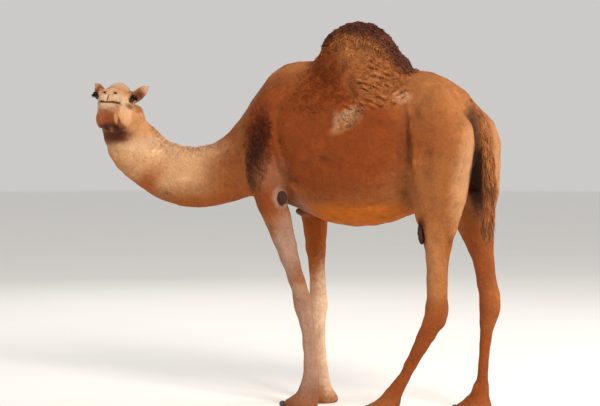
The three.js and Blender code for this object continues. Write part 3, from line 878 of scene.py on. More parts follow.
def remap(tree, value, low, high, start=0.0, end=1.0, kind="LINEAR"):
    """Low where the value is `start`, high where it is `end`, and a ramp between."""
    inputs = {"Value": value, 1: start, 2: end, 3: low, 4: high}
    return add(tree, "ShaderNodeMapRange", inputs, interpolation_type=kind).outputs[0]


def noise(tree, place, scale, detail, output=0):
    inputs = {"Vector": place, "Scale": scale, "Detail": detail}
    return add(tree, "ShaderNodeTexNoise", inputs).outputs[output]


def split(tree, vector):
    return tuple(add(tree, "ShaderNodeSeparateXYZ", {0: vector}).outputs)


def joined(tree, x, y, z=0.0):
    return add(tree, "ShaderNodeCombineXYZ", {0: x, 1: y, 2: z}).outputs[0]


def seen_from(tree, vector, place, turn=(0, 0, 0), size=(1, 1, 1)):
    """A place as it is in a frame with its own place, turn and size."""
    inputs = {"Vector": vector, "Location": place, "Rotation": turn, "Scale": size}
    return add(tree, "ShaderNodeMapping", inputs, vector_type="TEXTURE").outputs[0]


def rgba(value):
    return (*value, 1.0)


# The coat's markings, and in some rows painted light and shade, as their comments say. Each row:
# name, space, centre, half sizes, tilt in degrees in the side view, softness of the edge, colour,
# amount. The spaces "both" for the body and "head" for the head are mirrored, and "side" and "turned"
# are the same two unmirrored.
MARKINGS = [
    ("back", "both", (0.34, 0.0, 1.80), (0.26, 0.5, 0.08), 8, 0.6, "golden", 0.55),
    ("hump cap", "both", (0.10, 0.0, 1.97), (0.37, 0.4, 0.21), 22, 0.10, "umber", 0.97),
    ("hump flank", "both", (0.175, 0.20, 1.420), (0.332, 0.50, 0.602), -20, 0.06, "tan", 0.97),
    # Barrel: the coat's own reddish brown, reaching back as painted shade towards the thigh.
    ("barrel", "both", (0.03, 0.2, 1.46), (0.45, 0.6, 0.36), 0, 0.3, "chestnut", 0.95),
    ("withers", "both", (-0.33, 0.0, 1.84), (0.15, 0.5, 0.055), -14, 0.6, "golden", 0.8),
    # Belly: its own orange brown, brightened as painted warm light reflected from the ground.
    ("belly", "both", (0.16, 0.0, 0.98), (0.42, 0.5, 0.135), 0, 0.3, "amber", 0.95),
    ("rump", "both", (0.60, 0.1, 1.62), (0.20, 0.5, 0.17), 25, 0.6, "golden", 0.8),
    ("thigh top", "both", (0.55, 0.2, 1.48), (0.14, 0.5, 0.14), 0, 0.7, "chestnut", 0.55),
    # Painted highlight down the rear edge of the thighs.
    ("thigh rear highlight", "both", (0.755, 0.17, 1.24), (0.060, 0.14, 0.30), 8, 0.6, "peach", 0.45),
    # Painted shade along the front edge of the thighs.
    ("thigh front shade", "both", (0.43, 0.2, 1.36), (0.034, 0.5, 0.30), 6, 0.8, "maroon", 0.28),
    # The neck's top is paler, partly its own hair and partly painted sunlight from above.
    ("upper neck", "both", (-1.20, 0.0, 1.42), (0.22, 0.6, 0.20), 0, 0.5, "pale", 0.9),
    ("crest", "both", (-1.00, 0.0, 1.38), (0.30, 0.5, 0.075), 0, 0.6, "peach", 0.95),
    ("crest highlight", "both", (-1.04, 0.0, 1.40), (0.28, 0.5, 0.060), 0, 0.6, "cream", 0.6),
    ("neck middle", "both", (-1.00, 0.1, 1.27), (0.24, 0.5, 0.12), 0, 0.7, "peach", 0.75),
    ("neck base", "both", (-0.64, 0.1, 1.25), (0.16, 0.5, 0.22), 0, 0.6, "rust", 0.4),
    ("throat", "both", (-1.24, 0.0, 1.13), (0.20, 0.5, 0.065), -42, 0.6, "rust", 0.85),
    ("throat dip", "both", (-0.93, 0.0, 1.055), (0.34, 0.5, 0.055), 0, 0.7, "rust", 0.75),
    # Painted shadow on the neck below the jaw.
    ("throat shadow", "side", (-1.345, -0.17, 1.450), (0.095, 0.10, 0.042), 0, 0.6, "maroon", 0.85),
    ("chest", "both", (-0.55, 0.0, 1.10), (0.16, 0.5, 0.07), 0, 0.6, "rust", 0.7),
    ("shoulder top", "both", (-0.40, 0.2, 1.58), (0.11, 0.5, 0.18), 15, 0.6, "chestnut", 0.9),
    ("shoulder", "both", (-0.398, 0.25, 1.40), (0.046, 0.5, 0.19), 8, 0.6, "maroon", 0.92),
    ("shoulder core", "both", (-0.42, 0.25, 1.355), (0.038, 0.5, 0.09), 0, 0.7, "soot", 0.45),
    ("shoulder low", "both", (-0.42, 0.25, 1.25), (0.030, 0.5, 0.06), 20, 0.8, "maroon", 0.6),
    ("arm", "both", (-0.32, 0.25, 1.24), (0.09, 0.5, 0.10), 20, 0.6, "mauve", 0.6),
    ("arm low", "both", (-0.33, 0.22, 1.10), (0.10, 0.5, 0.07), 10, 0.6, "chestnut", 0.85),
    ("folds", "both", (0.24, 0.17, 1.71), (0.15, 0.4, 0.09), 15, 0.7, "golden", 0.6),
    ("worn patch", "both", (0.128, 0.27, 1.550), (0.058, 0.4, 0.042), -35, 0.7, "pale", 0.55),
    ("worn heart", "both", (0.118, 0.27, 1.560), (0.036, 0.4, 0.025), -35, 0.6, "cream", 0.35),
    ("worn streak", "both", (0.090, 0.27, 1.495), (0.050, 0.4, 0.022), -18, 0.8, "pale", 0.40),
    ("worn side", "both", (0.055, 0.27, 1.535), (0.020, 0.4, 0.040), -8, 0.9, "cream", 0.28),
    ("worn edge", "both", (0.020, 0.26, 1.56), (0.020, 0.4, 0.050), 0, 0.8, "bark", 0.4),
    # Painted highlight on the edge of the loin, in front of the hip.
    ("loin highlight", "both", (0.392, 0.18, 1.648), (0.046, 0.4, 0.026), 25, 0.6, "cream", 0.34),
    ("forearm", "side", (-0.27, -0.15, 0.84), (0.16, 0.14, 0.24), 14, 0.4, "mauve", 0.75),
    ("forearm front", "side", (-0.275, -0.17, 0.82), (0.075, 0.14, 0.26), 17, 0.6, "shank", 0.97),
    ("far forearm", "side", (-0.25, 0.15, 0.86), (0.14, 0.14, 0.24), 6, 0.4, "rust", 0.85),
    ("knee", "side", (-0.19, -0.12, 0.60), (0.08, 0.09, 0.08), 0, 0.6, "shank", 0.5),
    ("knee worn", "side", (-0.20, -0.17, 0.63), (0.045, 0.06, 0.035), 0, 0.6, "cream", 0.3),
    ("shank", "side", (-0.17, -0.12, 0.33), (0.13, 0.14, 0.28), 0, 0.3, "shank", 0.95),
    ("far shank", "side", (-0.20, 0.12, 0.34), (0.13, 0.10, 0.36), 0, 0.3, "cream", 0.75),
    # Painted highlight down the edge of the right fore shank.
    ("far shank highlight", "side", (-0.165, 0.10, 0.40), (0.030, 0.10, 0.30), -4, 0.7, "ivory", 0.7),
    ("foot", "side", (-0.16, -0.12, 0.03), (0.20, 0.14, 0.10), 0, 0.6, "mauve", 0.6),
    ("fore toes", "side", (-0.27, -0.12, 0.00), (0.11, 0.14, 0.045), 0, 0.6, "bark", 0.7),
    ("gaskin", "both", (0.64, 0.15, 0.78), (0.22, 0.3, 0.22), 0, 0.5, "golden", 0.6),
    # A painted highlight down the front of the left gaskin, and painted shade in the groove behind
    # it.
    ("gaskin highlight", "side", (0.575, -0.23, 0.78), (0.028, 0.06, 0.24), 0, 0.8, "pale", 0.25),
    ("gaskin groove shade", "side", (0.660, -0.20, 0.80), (0.024, 0.09, 0.20), 4, 0.7, "russet", 0.75),
    ("stifle", "side", (0.524, -0.22, 0.962), (0.032, 0.08, 0.090), 10, 0.5, "maroon", 0.95),
    ("hock spot", "side", (0.528, -0.171, 0.441), (0.022, 0.06, 0.022), 0, 0.7, "maroon", 0.7),
    ("elbow rim", "side", (-0.262, -0.238, 1.124), (0.046, 0.05, 0.058), 0, 0.35, "shank", 0.9),
    ("far gaskin", "side", (0.72, 0.15, 0.84), (0.16, 0.14, 0.24), 0, 0.5, "russet", 0.8),
    ("hock", "both", (0.66, 0.14, 0.54), (0.18, 0.2, 0.08), 0, 0.6, "russet", 0.6),
    ("hind shank", "both", (0.56, 0.14, 0.25), (0.35, 0.2, 0.26), 0, 0.35, "russet", 0.95),
    # Painted shadow in the cleft of the rump, beside the tail.
    ("shade between buttocks", "both", (0.722, 0.04, 1.30), (0.070, 0.125, 0.31), 0, 0.25, "soot", 0.92),
    ("hump brow", "both", (0.13, 0.13, 1.895), (0.11, 0.2, 0.070), 0, 0.6, "golden", 0.65),
    ("hump front", "both", (-0.09, 0.2, 1.80), (0.10, 0.5, 0.13), 0, 0.5, "chestnut", 0.8),
    ("tail top", "side", (0.80, -0.02, 1.42), (0.050, 0.06, 0.24), -6, 0.5, "tan", 0.75),
    # Painted shadow along the tail's left edge.
    ("tail edge shadow", "side", (0.757, -0.03, 1.30), (0.018, 0.05, 0.26), 0, 0.7, "umber", 0.4),
    ("tail end", "side", (0.80, 0.0, 1.03), (0.10, 0.09, 0.26), 0, 0.5, "bark", 0.50),
    ("tail tip", "side", (0.825, 0.0, 0.93), (0.05, 0.06, 0.09), 0, 0.7, "golden", 0.5),
    ("head base", "head", (0.04, 0.0, -0.02), (0.30, 0.17, 0.18), 0, 0.3, "pale", 0.8),
    ("cheek", "head", (0.03, 0.085, -0.07), (0.12, 0.06, 0.075), 0, 0.6, "peach", 0.9),
    ("face", "head", (0.10, 0.07, -0.045), (0.11, 0.05, 0.045), 0, 0.6, "cream", 0.75),
    ("forehead", "head", (-0.02, 0.05, 0.07), (0.06, 0.03, 0.03), 0, 0.7, "mauve", 0.2),
    ("crown", "head", (-0.07, 0.0, 0.10), (0.09, 0.08, 0.05), 0, 0.6, "cream", 0.8),
    ("nose", "head", (0.14, 0.0, 0.00), (0.13, 0.06, 0.04), 0, 0.6, "cream", 0.8),
    # Painted shade under the jaw and on the throat behind it.
    ("throat shade", "head", (-0.14, 0.0, -0.170), (0.065, 0.085, 0.036), 0, 0.5, "maroon", 0.75),
    ("jaw", "head", (-0.03, 0.0, -0.175), (0.15, 0.080, 0.040), 0, 0.4, "maroon", 0.85),
    ("chin", "head", (0.11, 0.0, -0.142), (0.12, 0.038, 0.036), 0, 0.4, "rust", 0.95),
    # Painted shade on the right side of the lower jaw.
    ("right jaw shade", "turned", (0.07, -0.060, -0.127), (0.15, 0.045, 0.048), 0, 0.5, "rust", 0.85),
    # More painted shade under the jaw.
    ("jaw underside shade", "head", (0.00, 0.0, -0.176), (0.100, 0.080, 0.024), 0, 0.5, "maroon", 0.9),
    # Painted shade in the throat's two hollows, and a painted highlight on the keel between them and
    # on the jaw's angles.
    ("jaw hollow shade", "head", (-0.008, 0.031, -0.167), (0.040, 0.013, 0.014), 0, 0.6, "soot", 0.75),
    ("jaw keel highlight", "head", (-0.020, 0.0, -0.178), (0.040, 0.010, 0.012), 0, 0.6, "tan", 0.6),
    ("jaw angle highlight", "head", (-0.057, 0.072, -0.158), (0.018, 0.011, 0.009), 0, 0.6, "pale", 0.6),
    # On the left of the jaw, a painted highlight on the sculpted ridge and painted shade in the
    # groove beside it.
    ("jaw ridge highlight", "turned", (0.092, 0.031, -0.138), (0.065, 0.0085, 0.015), -11, 0.5, "peach", 0.9),
    ("jaw groove shade", "turned", (0.030, 0.046, -0.144), (0.052, 0.0070, 0.013), -15, 0.5, "rust", 0.9),
    ("upper lip", "head", (0.245, 0.0, -0.068), (0.060, 0.075, 0.032), 0, 0.4, "cream", 0.9),
    ("lower lip", "head", (0.235, 0.0, -0.112), (0.055, 0.050, 0.014), 0, 0.4, "cream", 0.75),
    ("lids", "head", (0.004, 0.106, 0.002), (0.037, 0.028, 0.024), 0, 0.35, "soot", 0.97),
    ("brow", "head", (-0.004, 0.092, 0.030), (0.040, 0.026, 0.012), 0, 0.5, "soot", 0.7),
    # A dark maroon patch below each eye.
    ("below eye", "head", (-0.004, 0.090, -0.044), (0.062, 0.034, 0.015), 6, 0.6, "maroon", 0.75),
    ("ear", "head", (-0.125, 0.125, 0.080), (0.05, 0.05, 0.05), 0, 0.5, "golden", 0.6),
    # Painted shade inside the ear's cup.
    ("ear hollow shade", "head", (-0.108, 0.125, 0.060), (0.018, 0.022, 0.026), 0, 0.7, "russet", 0.7),
    ("ear tip", "head", (-0.124, 0.152, 0.092), (0.040, 0.026, 0.028), 0, 0.6, "cream", 0.65),
    ("ear root", "head", (-0.098, 0.108, 0.042), (0.034, 0.030, 0.032), 0, 0.6, "umber", 0.9),
    ("temple", "head", (-0.045, 0.098, 0.004), (0.040, 0.032, 0.026), 0, 0.6, "bark", 0.8),
    # Painted shade along the mouth's seam and its corners.
    ("mouth", "head", (0.250, 0.0, -0.0955), (0.045, 0.030, 0.0042), 0, 0.5, "soot", 0.9),
    ("mouth curve", "head", (0.245, 0.036, -0.0915), (0.035, 0.016, 0.0046), 0, 0.5, "soot", 0.9),
    ("mouth turn", "head", (0.225, 0.053, -0.0850), (0.030, 0.012, 0.0046), 8, 0.5, "soot", 0.85),
    ("mouth side", "head", (0.170, 0.062, -0.0765), (0.060, 0.030, 0.0040), 7, 0.6, "bark", 0.7),
    # Painted shade in the nostril's slit and the lip's cleft.
    ("nostril", "head", (0.250, 0.029, -0.040), (0.028, 0.012, 0.0042), -15, 0.5, "soot", 0.95),
    ("cleft", "head", (0.26, 0.0, -0.074), (0.05, 0.0030, 0.018), 0, 0.6, "bark", 0.6),
]


def marked_share(name, co):
    """How much each place takes of a marking that is in both sides of the body."""
    at, size, tilt, soft = next(row[2:6] for row in MARKINGS if row[0] == name)
    turn = np.array(Matrix.Rotation(math.radians(tilt), 3, "Y"))
    far = np.linalg.norm((folded(in_body(co)) - np.array(at)) @ turn / np.array(size), axis=1)
    return ramp(far, 1 + soft, 1 - soft)


BODY_WANDER = 0.05  # lets the markings' edges wander by up to about a centimetre
FACE_WANDER = 0.014  # and by a few millimetres on the head
FEATHER = 1.3  # how far a fine noise shifts an edge, as a share of the edge's softness


def markings_group():
    """The camel's colours at a place, with painted light and shade in some places, shared by its skin
    and every piece of its coat.
    """
    name = "camel markings"
    if name in bpy.data.node_groups:
        return bpy.data.node_groups[name]
    tree = bpy.data.node_groups.new(name, "ShaderNodeTree")
    tree.interface.new_socket("Position", in_out="INPUT", socket_type="NodeSocketVector")
    tree.interface.new_socket("Color", in_out="OUTPUT", socket_type="NodeSocketColor")
    start = tree.nodes.new("NodeGroupInput").outputs["Position"]
    end = tree.nodes.new("NodeGroupOutput")
    inputs = {0: noise(tree, start, 9.0, 4.0, "Color"), 1: (0.5, 0.5, 0.5)}
    drift = add(tree, "ShaderNodeVectorMath", inputs, operation="SUBTRACT").outputs[0]

    def wander(amount):
        shift = scaled(tree, drift, amount)
        return add(tree, "ShaderNodeVectorMath", {0: start, 1: shift}).outputs[0]

    def mirrored(vector):
        x, y, z = split(tree, vector)
        return joined(tree, x, maths(tree, "ABSOLUTE", y), z)

    def unturned(vector):
        """The face as it was before its muzzle was turned."""
        x, y, z = split(tree, vector)
        shift, tilt = (
            remap(tree, x, 0.0, amount, near, far, "SMOOTHSTEP")
            for near, far, amount in (MUZZLE_SHIFT, MUZZLE_TILT)
        )
        height = maths(tree, "SUBTRACT", z, MOUTH_HEIGHT)
        swing = maths(tree, "MULTIPLY_ADD", height, tilt, shift)
        return joined(tree, x, maths(tree, "SUBTRACT", y, swing), z)

    body = seen_from(tree, wander(BODY_WANDER), tuple(ORIGIN))
    face = unturned(seen_from(tree, wander(FACE_WANDER), tuple(EYE_MIDDLE), HEAD_EULER))
    spaces = {"side": body, "both": mirrored(body), "turned": face, "head": mirrored(face)}
    ragged = maths(tree, "SUBTRACT", noise(tree, start, 48.0, 5.0), 0.5)
    coat = settings()
    result = rgba(coat.tan)
    for _, space, at, size, tilt, soft, shade, amount in MARKINGS:
        local = seen_from(tree, spaces[space], at, (0, math.radians(tilt), 0), size)
        far = maths(tree, "MULTIPLY_ADD", ragged, FEATHER * soft, length_of(tree, local))
        mask = remap(tree, far, 0.0, amount, 1 + soft, 1 - soft, "SMOOTHSTEP")
        result = mix(tree, mask, result, rgba(getattr(coat, shade)))
    # The hair is a little lighter and darker from place to place.
    blotches = maths(tree, "ADD", noise(tree, start, 14.0, 6.0), noise(tree, start, 75.0, 4.0))
    level = remap(tree, blotches, 0.82, 1.18, 0.65, 1.35)
    tree.links.new(scaled(tree, result, level), end.inputs["Color"])
    return tree


def new_material(name):
    """A material, its nodes, its shader, and the place on the surface."""
    material = bpy.data.materials.new(name)
    material.use_nodes = True
    tree = material.node_tree
    place = add(tree, "ShaderNodeTexCoord").outputs["Object"]
    return material, tree, tree.nodes["Principled BSDF"], place


def set_surface(tree, shader, colour, rough, specular=0.5):
    """Gives the shader its colour, roughness and specular level."""
    plug(tree, shader.inputs["Base Color"], colour)
    plug(tree, shader.inputs["Roughness"], rough)
    shader.inputs["Specular IOR Level"].default_value = specular


def marked(tree, place):
    """The markings' colour at a place."""
    group = add(tree, "ShaderNodeGroup", node_tree=markings_group())
    tree.links.new(place, group.inputs["Position"])
    return group.outputs["Color"]


def attribute(tree, name):
    return add(tree, "ShaderNodeAttribute", attribute_name=name).outputs["Fac"]


def bump(tree, height, strength, distance, shader):
    inputs = {"Strength": strength, "Distance": distance, "Height": height}
    tree.links.new(add(tree, "ShaderNodeBump", inputs).outputs["Normal"], shader.inputs["Normal"])


def with_painted_relief_shade(tree, tone):
    """Paints shade on a brightness in the folds of the skin and a highlight on their ridges."""
    return maths(tree, "MULTIPLY", tone, remap(tree, attribute(tree, "relief"), 0.34, 1.45, -1, 1))


def skin_material():
    """Short hair that lies flat, seen as colour, grain and bump, with painted shade in the folds and
    a painted highlight on the ridges.
    """
    material, tree, shader, place = new_material("short_coat_on_skin")
    grain = noise(tree, place, 260.0, 4.0)
    tone = with_painted_relief_shade(tree, remap(tree, grain, 0.72, 1.12, 0.3, 0.7))
    colour = scaled(tree, marked(tree, place), tone)
    set_surface(tree, shader, colour, remap(tree, grain, 0.62, 0.85), 0.12)
    bump(tree, grain, 0.55, 0.003, shader)
    return material


def hair_material(name, root=0.86, tip=1.14, spread=0.20, tint=None, tint_amount=0.0, rough=0.60):
    """Tufts in the colours of the skin below them, with its painted fold shade and ridge highlight,
    darker at the root and each a little different.
    """
    material, tree, shader, place = new_material(name)
    own = attribute(tree, "shade")
    along = remap(tree, attribute(tree, "along"), root, tip)
    tone = maths(tree, "MULTIPLY", along, remap(tree, own, 1 - spread, 1 + spread))
    base = marked(tree, place)
    if tint is not None:
        base = mix(tree, tint_amount, base, rgba(tint))
    colour = scaled(tree, base, with_painted_relief_shade(tree, tone))
    set_surface(tree, shader, colour, remap(tree, own, rough - 0.08, rough + 0.12), 0.15)
    return material


# ---------------------------------------------------------------- the coat


class Hide:
    """The finished skin, as the places where hair can grow."""

    def __init__(self):
        mesh = bpy.data.objects["skin"].data
        mesh.calc_loop_triangles()
        self.co = places(mesh)
        self.out = normals(mesh)
        self.lie = read(mesh.attributes["lie"].data, "vector", 3).astype(float)
        self.relief = read(mesh.attributes["relief"].data, "value", 1).astype(float)
        part = read(mesh.attributes["part"].data, "value", 1, np.int32)
        self.faces = read(mesh.loop_triangles, "vertices", 3, np.int32)
        loops = read(mesh.loop_triangles, "loops", 3, np.int32)
        self.uv = read(mesh.uv_layers["OFBake"].uv, "vector", 2).astype(float)[loops]
        a, b, c = (self.co[self.faces[:, k]] for k in range(3))
        self.area = np.linalg.norm(np.cross(b - a, c - a), axis=1) / 2
        self.middle = (a + b + c) / 3
        self.names = FAMILIES[part[self.faces[:, 0]]]

    def on(self, *names):
        return np.isin(self.names, names).astype(float)

    def grow(self, count, weight, rng):
        """Random roots, more of them where the weight is larger."""
        share = np.cumsum(self.area * weight)
        steps = (np.arange(count) + rng.random(count)) / count * share[-1]
        face = np.minimum(np.searchsorted(share, steps), len(share) - 1)
        s = np.sqrt(rng.random(count))
        t = rng.random(count)
        part = np.stack([1 - s, s * (1 - t), s * t], axis=1)[:, :, None]
        corners = self.faces[face]
        return {
            "at": (self.co[corners] * part).sum(1),
            "out": unit((self.out[corners] * part).sum(1)),
            "lie": unit((self.lie[corners] * part).sum(1)),
            "uv": (self.uv[face] * part).sum(1),
            "relief": (self.relief[corners] * part[:, :, 0]).sum(1),
        }


_hide = []


def hide():
    if not _hide:
        _hide.append(Hide())
    return _hide[0]


PATCH = 0.003  # size of one tuft's place on the unwrap
ROOT_DEPTH = 0.0008  # how far below the skin a tuft begins


def tufts(name, roots, material, slot, rng, size, wide, lift=0.25, droop=0.1, stray=0.25,
          curl=0.0, turns=1.0, steps=1, flat=0.45, clump=0.0):
    """Thin closed locks that leave the skin at `lift` radians and lie down again towards the tip.

    `size` and `wide` are one value or one for each root, `stray` is how much their direction
    differs, `clump` turns neighbours together, and `curl` and `turns` wind them. `flat` is a lock's
    thickness as a share of its width. Straight short hair of one step takes its shading from the
    skin below, so that it reads as one coat."""
    at, out, lie = (roots[key] for key in ("at", "out", "lie"))
    count = len(at)
    size = np.broadcast_to(size, count) * rng.uniform(0.65, 1.25, count)
    wide = np.broadcast_to(wide, count) * rng.uniform(0.7, 1.25, count)
    side = unit(np.cross(out, lie))
    turn = rng.normal(0, stray, count) + clump * wavy(in_body(at), 0.05, SEED + 11)
    lie = unit(lie * np.cos(turn)[:, None] + side * np.sin(turn)[:, None])
    side = unit(np.cross(out, lie))
    rise = lift * rng.uniform(0.5, 1.5, count)
    phase = rng.uniform(0, 2 * math.pi, count)
    point = at - out * ROOT_DEPTH
    line = [point]
    for k in range(steps):
        share = (k + 0.5) / steps
        angle = rise * (1 - share) - droop * share
        way = lie * np.cos(angle)[:, None] + out * np.sin(angle)[:, None]
        point = point + way * (size / steps)[:, None]
        line.append(point)
    line = np.stack(line, axis=1)
    share = np.linspace(0, 1, steps + 1)
    if curl:
        wind = 2 * math.pi * turns * share[None, :] + phase[:, None]
        reach = (size * curl)[:, None] * share[None, :]
        line = line + side[:, None] * (np.sin(wind) * reach)[:, :, None]
        line = line + out[:, None] * (np.abs(np.cos(wind)) * reach)[:, :, None]
    tangent = unit(np.gradient(line, axis=1))
    up = unit(np.cross(tangent, side[:, None]))
    up = np.where((up * out[:, None]).sum(2, keepdims=True) < 0, -up, up)
    across = unit(np.cross(tangent, up))
    # A lock is widest two fifths of the way along.
    girth = np.sin(np.pi * np.clip(0.25 + 0.62 * share[:-1], 0, 1))
    rings = []
    corners = [(math.cos(a), math.sin(a)) for a in map(math.radians, (90, 210, 330))]
    reach = (0.5 * wide[:, None] * girth[None, :])[:, :, None]
    for c, s in corners:
        rings.append(line[:, :-1] + across[:, :-1] * c * reach + up[:, :-1] * s * reach * flat)
    ring_points = np.stack(rings, axis=2).reshape(count, steps * 3, 3)
    vertices = np.concatenate([ring_points, line[:, -1:]], axis=1)
    tip = steps * 3
    per = tip + 1
    faces = [(2, 1, 0)]
    for k in range(steps - 1):
        for c in range(3):
            a, b = k * 3 + c, k * 3 + (c + 1) % 3
            faces += [(a, b, b + 3), (a, b + 3, a + 3)]
    last = (steps - 1) * 3
    faces += [(last + c, last + (c + 1) % 3, tip) for c in range(3)]
    faces = np.array(faces)
    if closed_volume(vertices[0], faces) < 0:
        faces = faces[:, ::-1]
    index = (np.arange(count)[:, None, None] * per + faces[None]).reshape(-1, 3)
    mesh = bpy.data.meshes.new(name)
    mesh.vertices.add(count * per)
    mesh.vertices.foreach_set("co", vertices.astype(np.float32).ravel())
    mesh.loops.add(index.size)
    mesh.loops.foreach_set("vertex_index", index.astype(np.int32).ravel())
    mesh.polygons.add(len(index))
    mesh.polygons.foreach_set("loop_start", np.arange(0, index.size, 3, dtype=np.int32))
    mesh.update(calc_edges=True)
    along = np.append(np.repeat(share[:-1], 3), 1.0)
    store(mesh, "along", np.tile(along, count))
    store(mesh, "shade", np.repeat(rng.random(count), per))
    store(mesh, "relief", np.repeat(roots["relief"], per))
    around = np.append(np.tile((0.0, 0.5, 1.0), steps), 0.5)
    patch = (np.stack([around, along], axis=1) - 0.5) * PATCH
    uv = (roots["uv"][:, None] + patch[None])[:, faces.ravel()]
    layer = mesh.uv_layers.new(name="OFBake")
    layer.uv.foreach_set("vector", np.clip(uv, 0, 1).astype(np.float32).ravel())
    mesh.shade_smooth()
    if steps == 1:
        lean = across[:, 0] * 0.45
        bent = [out + lean * c for c, _ in corners]
        shading = unit(np.stack([*bent, out], axis=1)).reshape(-1, 3)
        mesh.normals_split_custom_set_from_vertices(shading)
    mesh.materials.append(material)
    piece = bpy.data.objects.new(name, mesh)
    bpy.context.scene.collection.objects.link(piece)
    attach(piece, "root")
    return piece


def closed_volume(points, faces):
    a, b, c = (points[faces[:, k]] for k in range(3))
    return (a * np.cross(b, c)).sum()


def grown(count):
    """How many of a piece's tufts to grow."""
    return max(int(count * settings().density * (1)), 50)


def grow_piece(name, number, count, where, material, size, wide, slot="coat", **lay):
    """Grows a piece of the coat, more of it where `where` is larger, with random draws of its own.

    `size` and `wide` are values, or work them out from the places of the roots."""
    rng = np.random.default_rng(SEED + number)
    roots = hide().grow(grown(count), where, rng)
    size, wide = (value(roots["at"]) if callable(value) else value for value in (size, wide))
    tufts(name, roots, material, slot, rng, size, wide, **lay)


def blob(co, at, size):
    """1 in the middle of an ellipsoid and 0 outside it, in the camel's frame, on both sides."""
    away = (folded(in_body(co)) - np.array(at)) / np.array(size)
    return ramp(np.linalg.norm(away, axis=1), 1.0, 0.6)


class CAMEL_OT_body_coat(bpy.types.Operator):
    """Grows the short hair of the trunk, neck and upper legs"""

    bl_idname = "camel.body_coat"
    bl_label = "Body coat"

    def execute(self, context):
        skin = hide()
        hair = settings().body_hair
        material = hair_material("short_hair")
        left = skin.middle[:, 1] < ORIGIN[1]
        trunk = skin.on("trunk")
        leg = skin.on("forearm", "gaskin", "tail_dock")
        pieces = [
            # name, where, tufts, share of the body hair's length, width
            ("coat_trunk_left", trunk * left, 28000, 1.0, 0.0032),
            ("coat_trunk_right", trunk * ~left, 28000, 1.0, 0.0032),
            ("coat_neck", skin.on("neck"), 34000, 0.80, 0.0027),
            ("coat_shoulders", skin.on("upper_arm"), 17000, 0.90, 0.0029),
            ("coat_thighs", skin.on("thigh"), 24000, 0.90, 0.0030),
            ("coat_legs", leg, 27000, 0.62, 0.0023),
        ]
        for number, (name, where, count, share, wide) in enumerate(pieces):
            grow_piece(name, 100 + number, count, where, material, hair * share, wide,
                       lift=0.24, stray=0.20, clump=0.22)
        return {"FINISHED"}


class CAMEL_OT_leg_coat(bpy.types.Operator):
    """Grows the very short hair of the shanks and feet"""

    bl_idname = "camel.leg_coat"
    bl_label = "Leg coat"

    def execute(self, context):
        skin = hide()
        above_sole = ramp(skin.middle[:, 2], 0.006, 0.02)
        where = skin.on("fore_shank", "hind_shank", "fore_foot", "hind_foot") * above_sole

        def shorter_on_foot(size, less):
            return lambda at: size - less * ramp(at[:, 2], 0.20, 0.10)

        grow_piece("coat_shanks", 120, 25000, where, hair_material("leg_hair"),
                   shorter_on_foot(0.010, 0.003), shorter_on_foot(0.0020, 0.0005),
                   lift=0.2, stray=0.18)
        return {"FINISHED"}


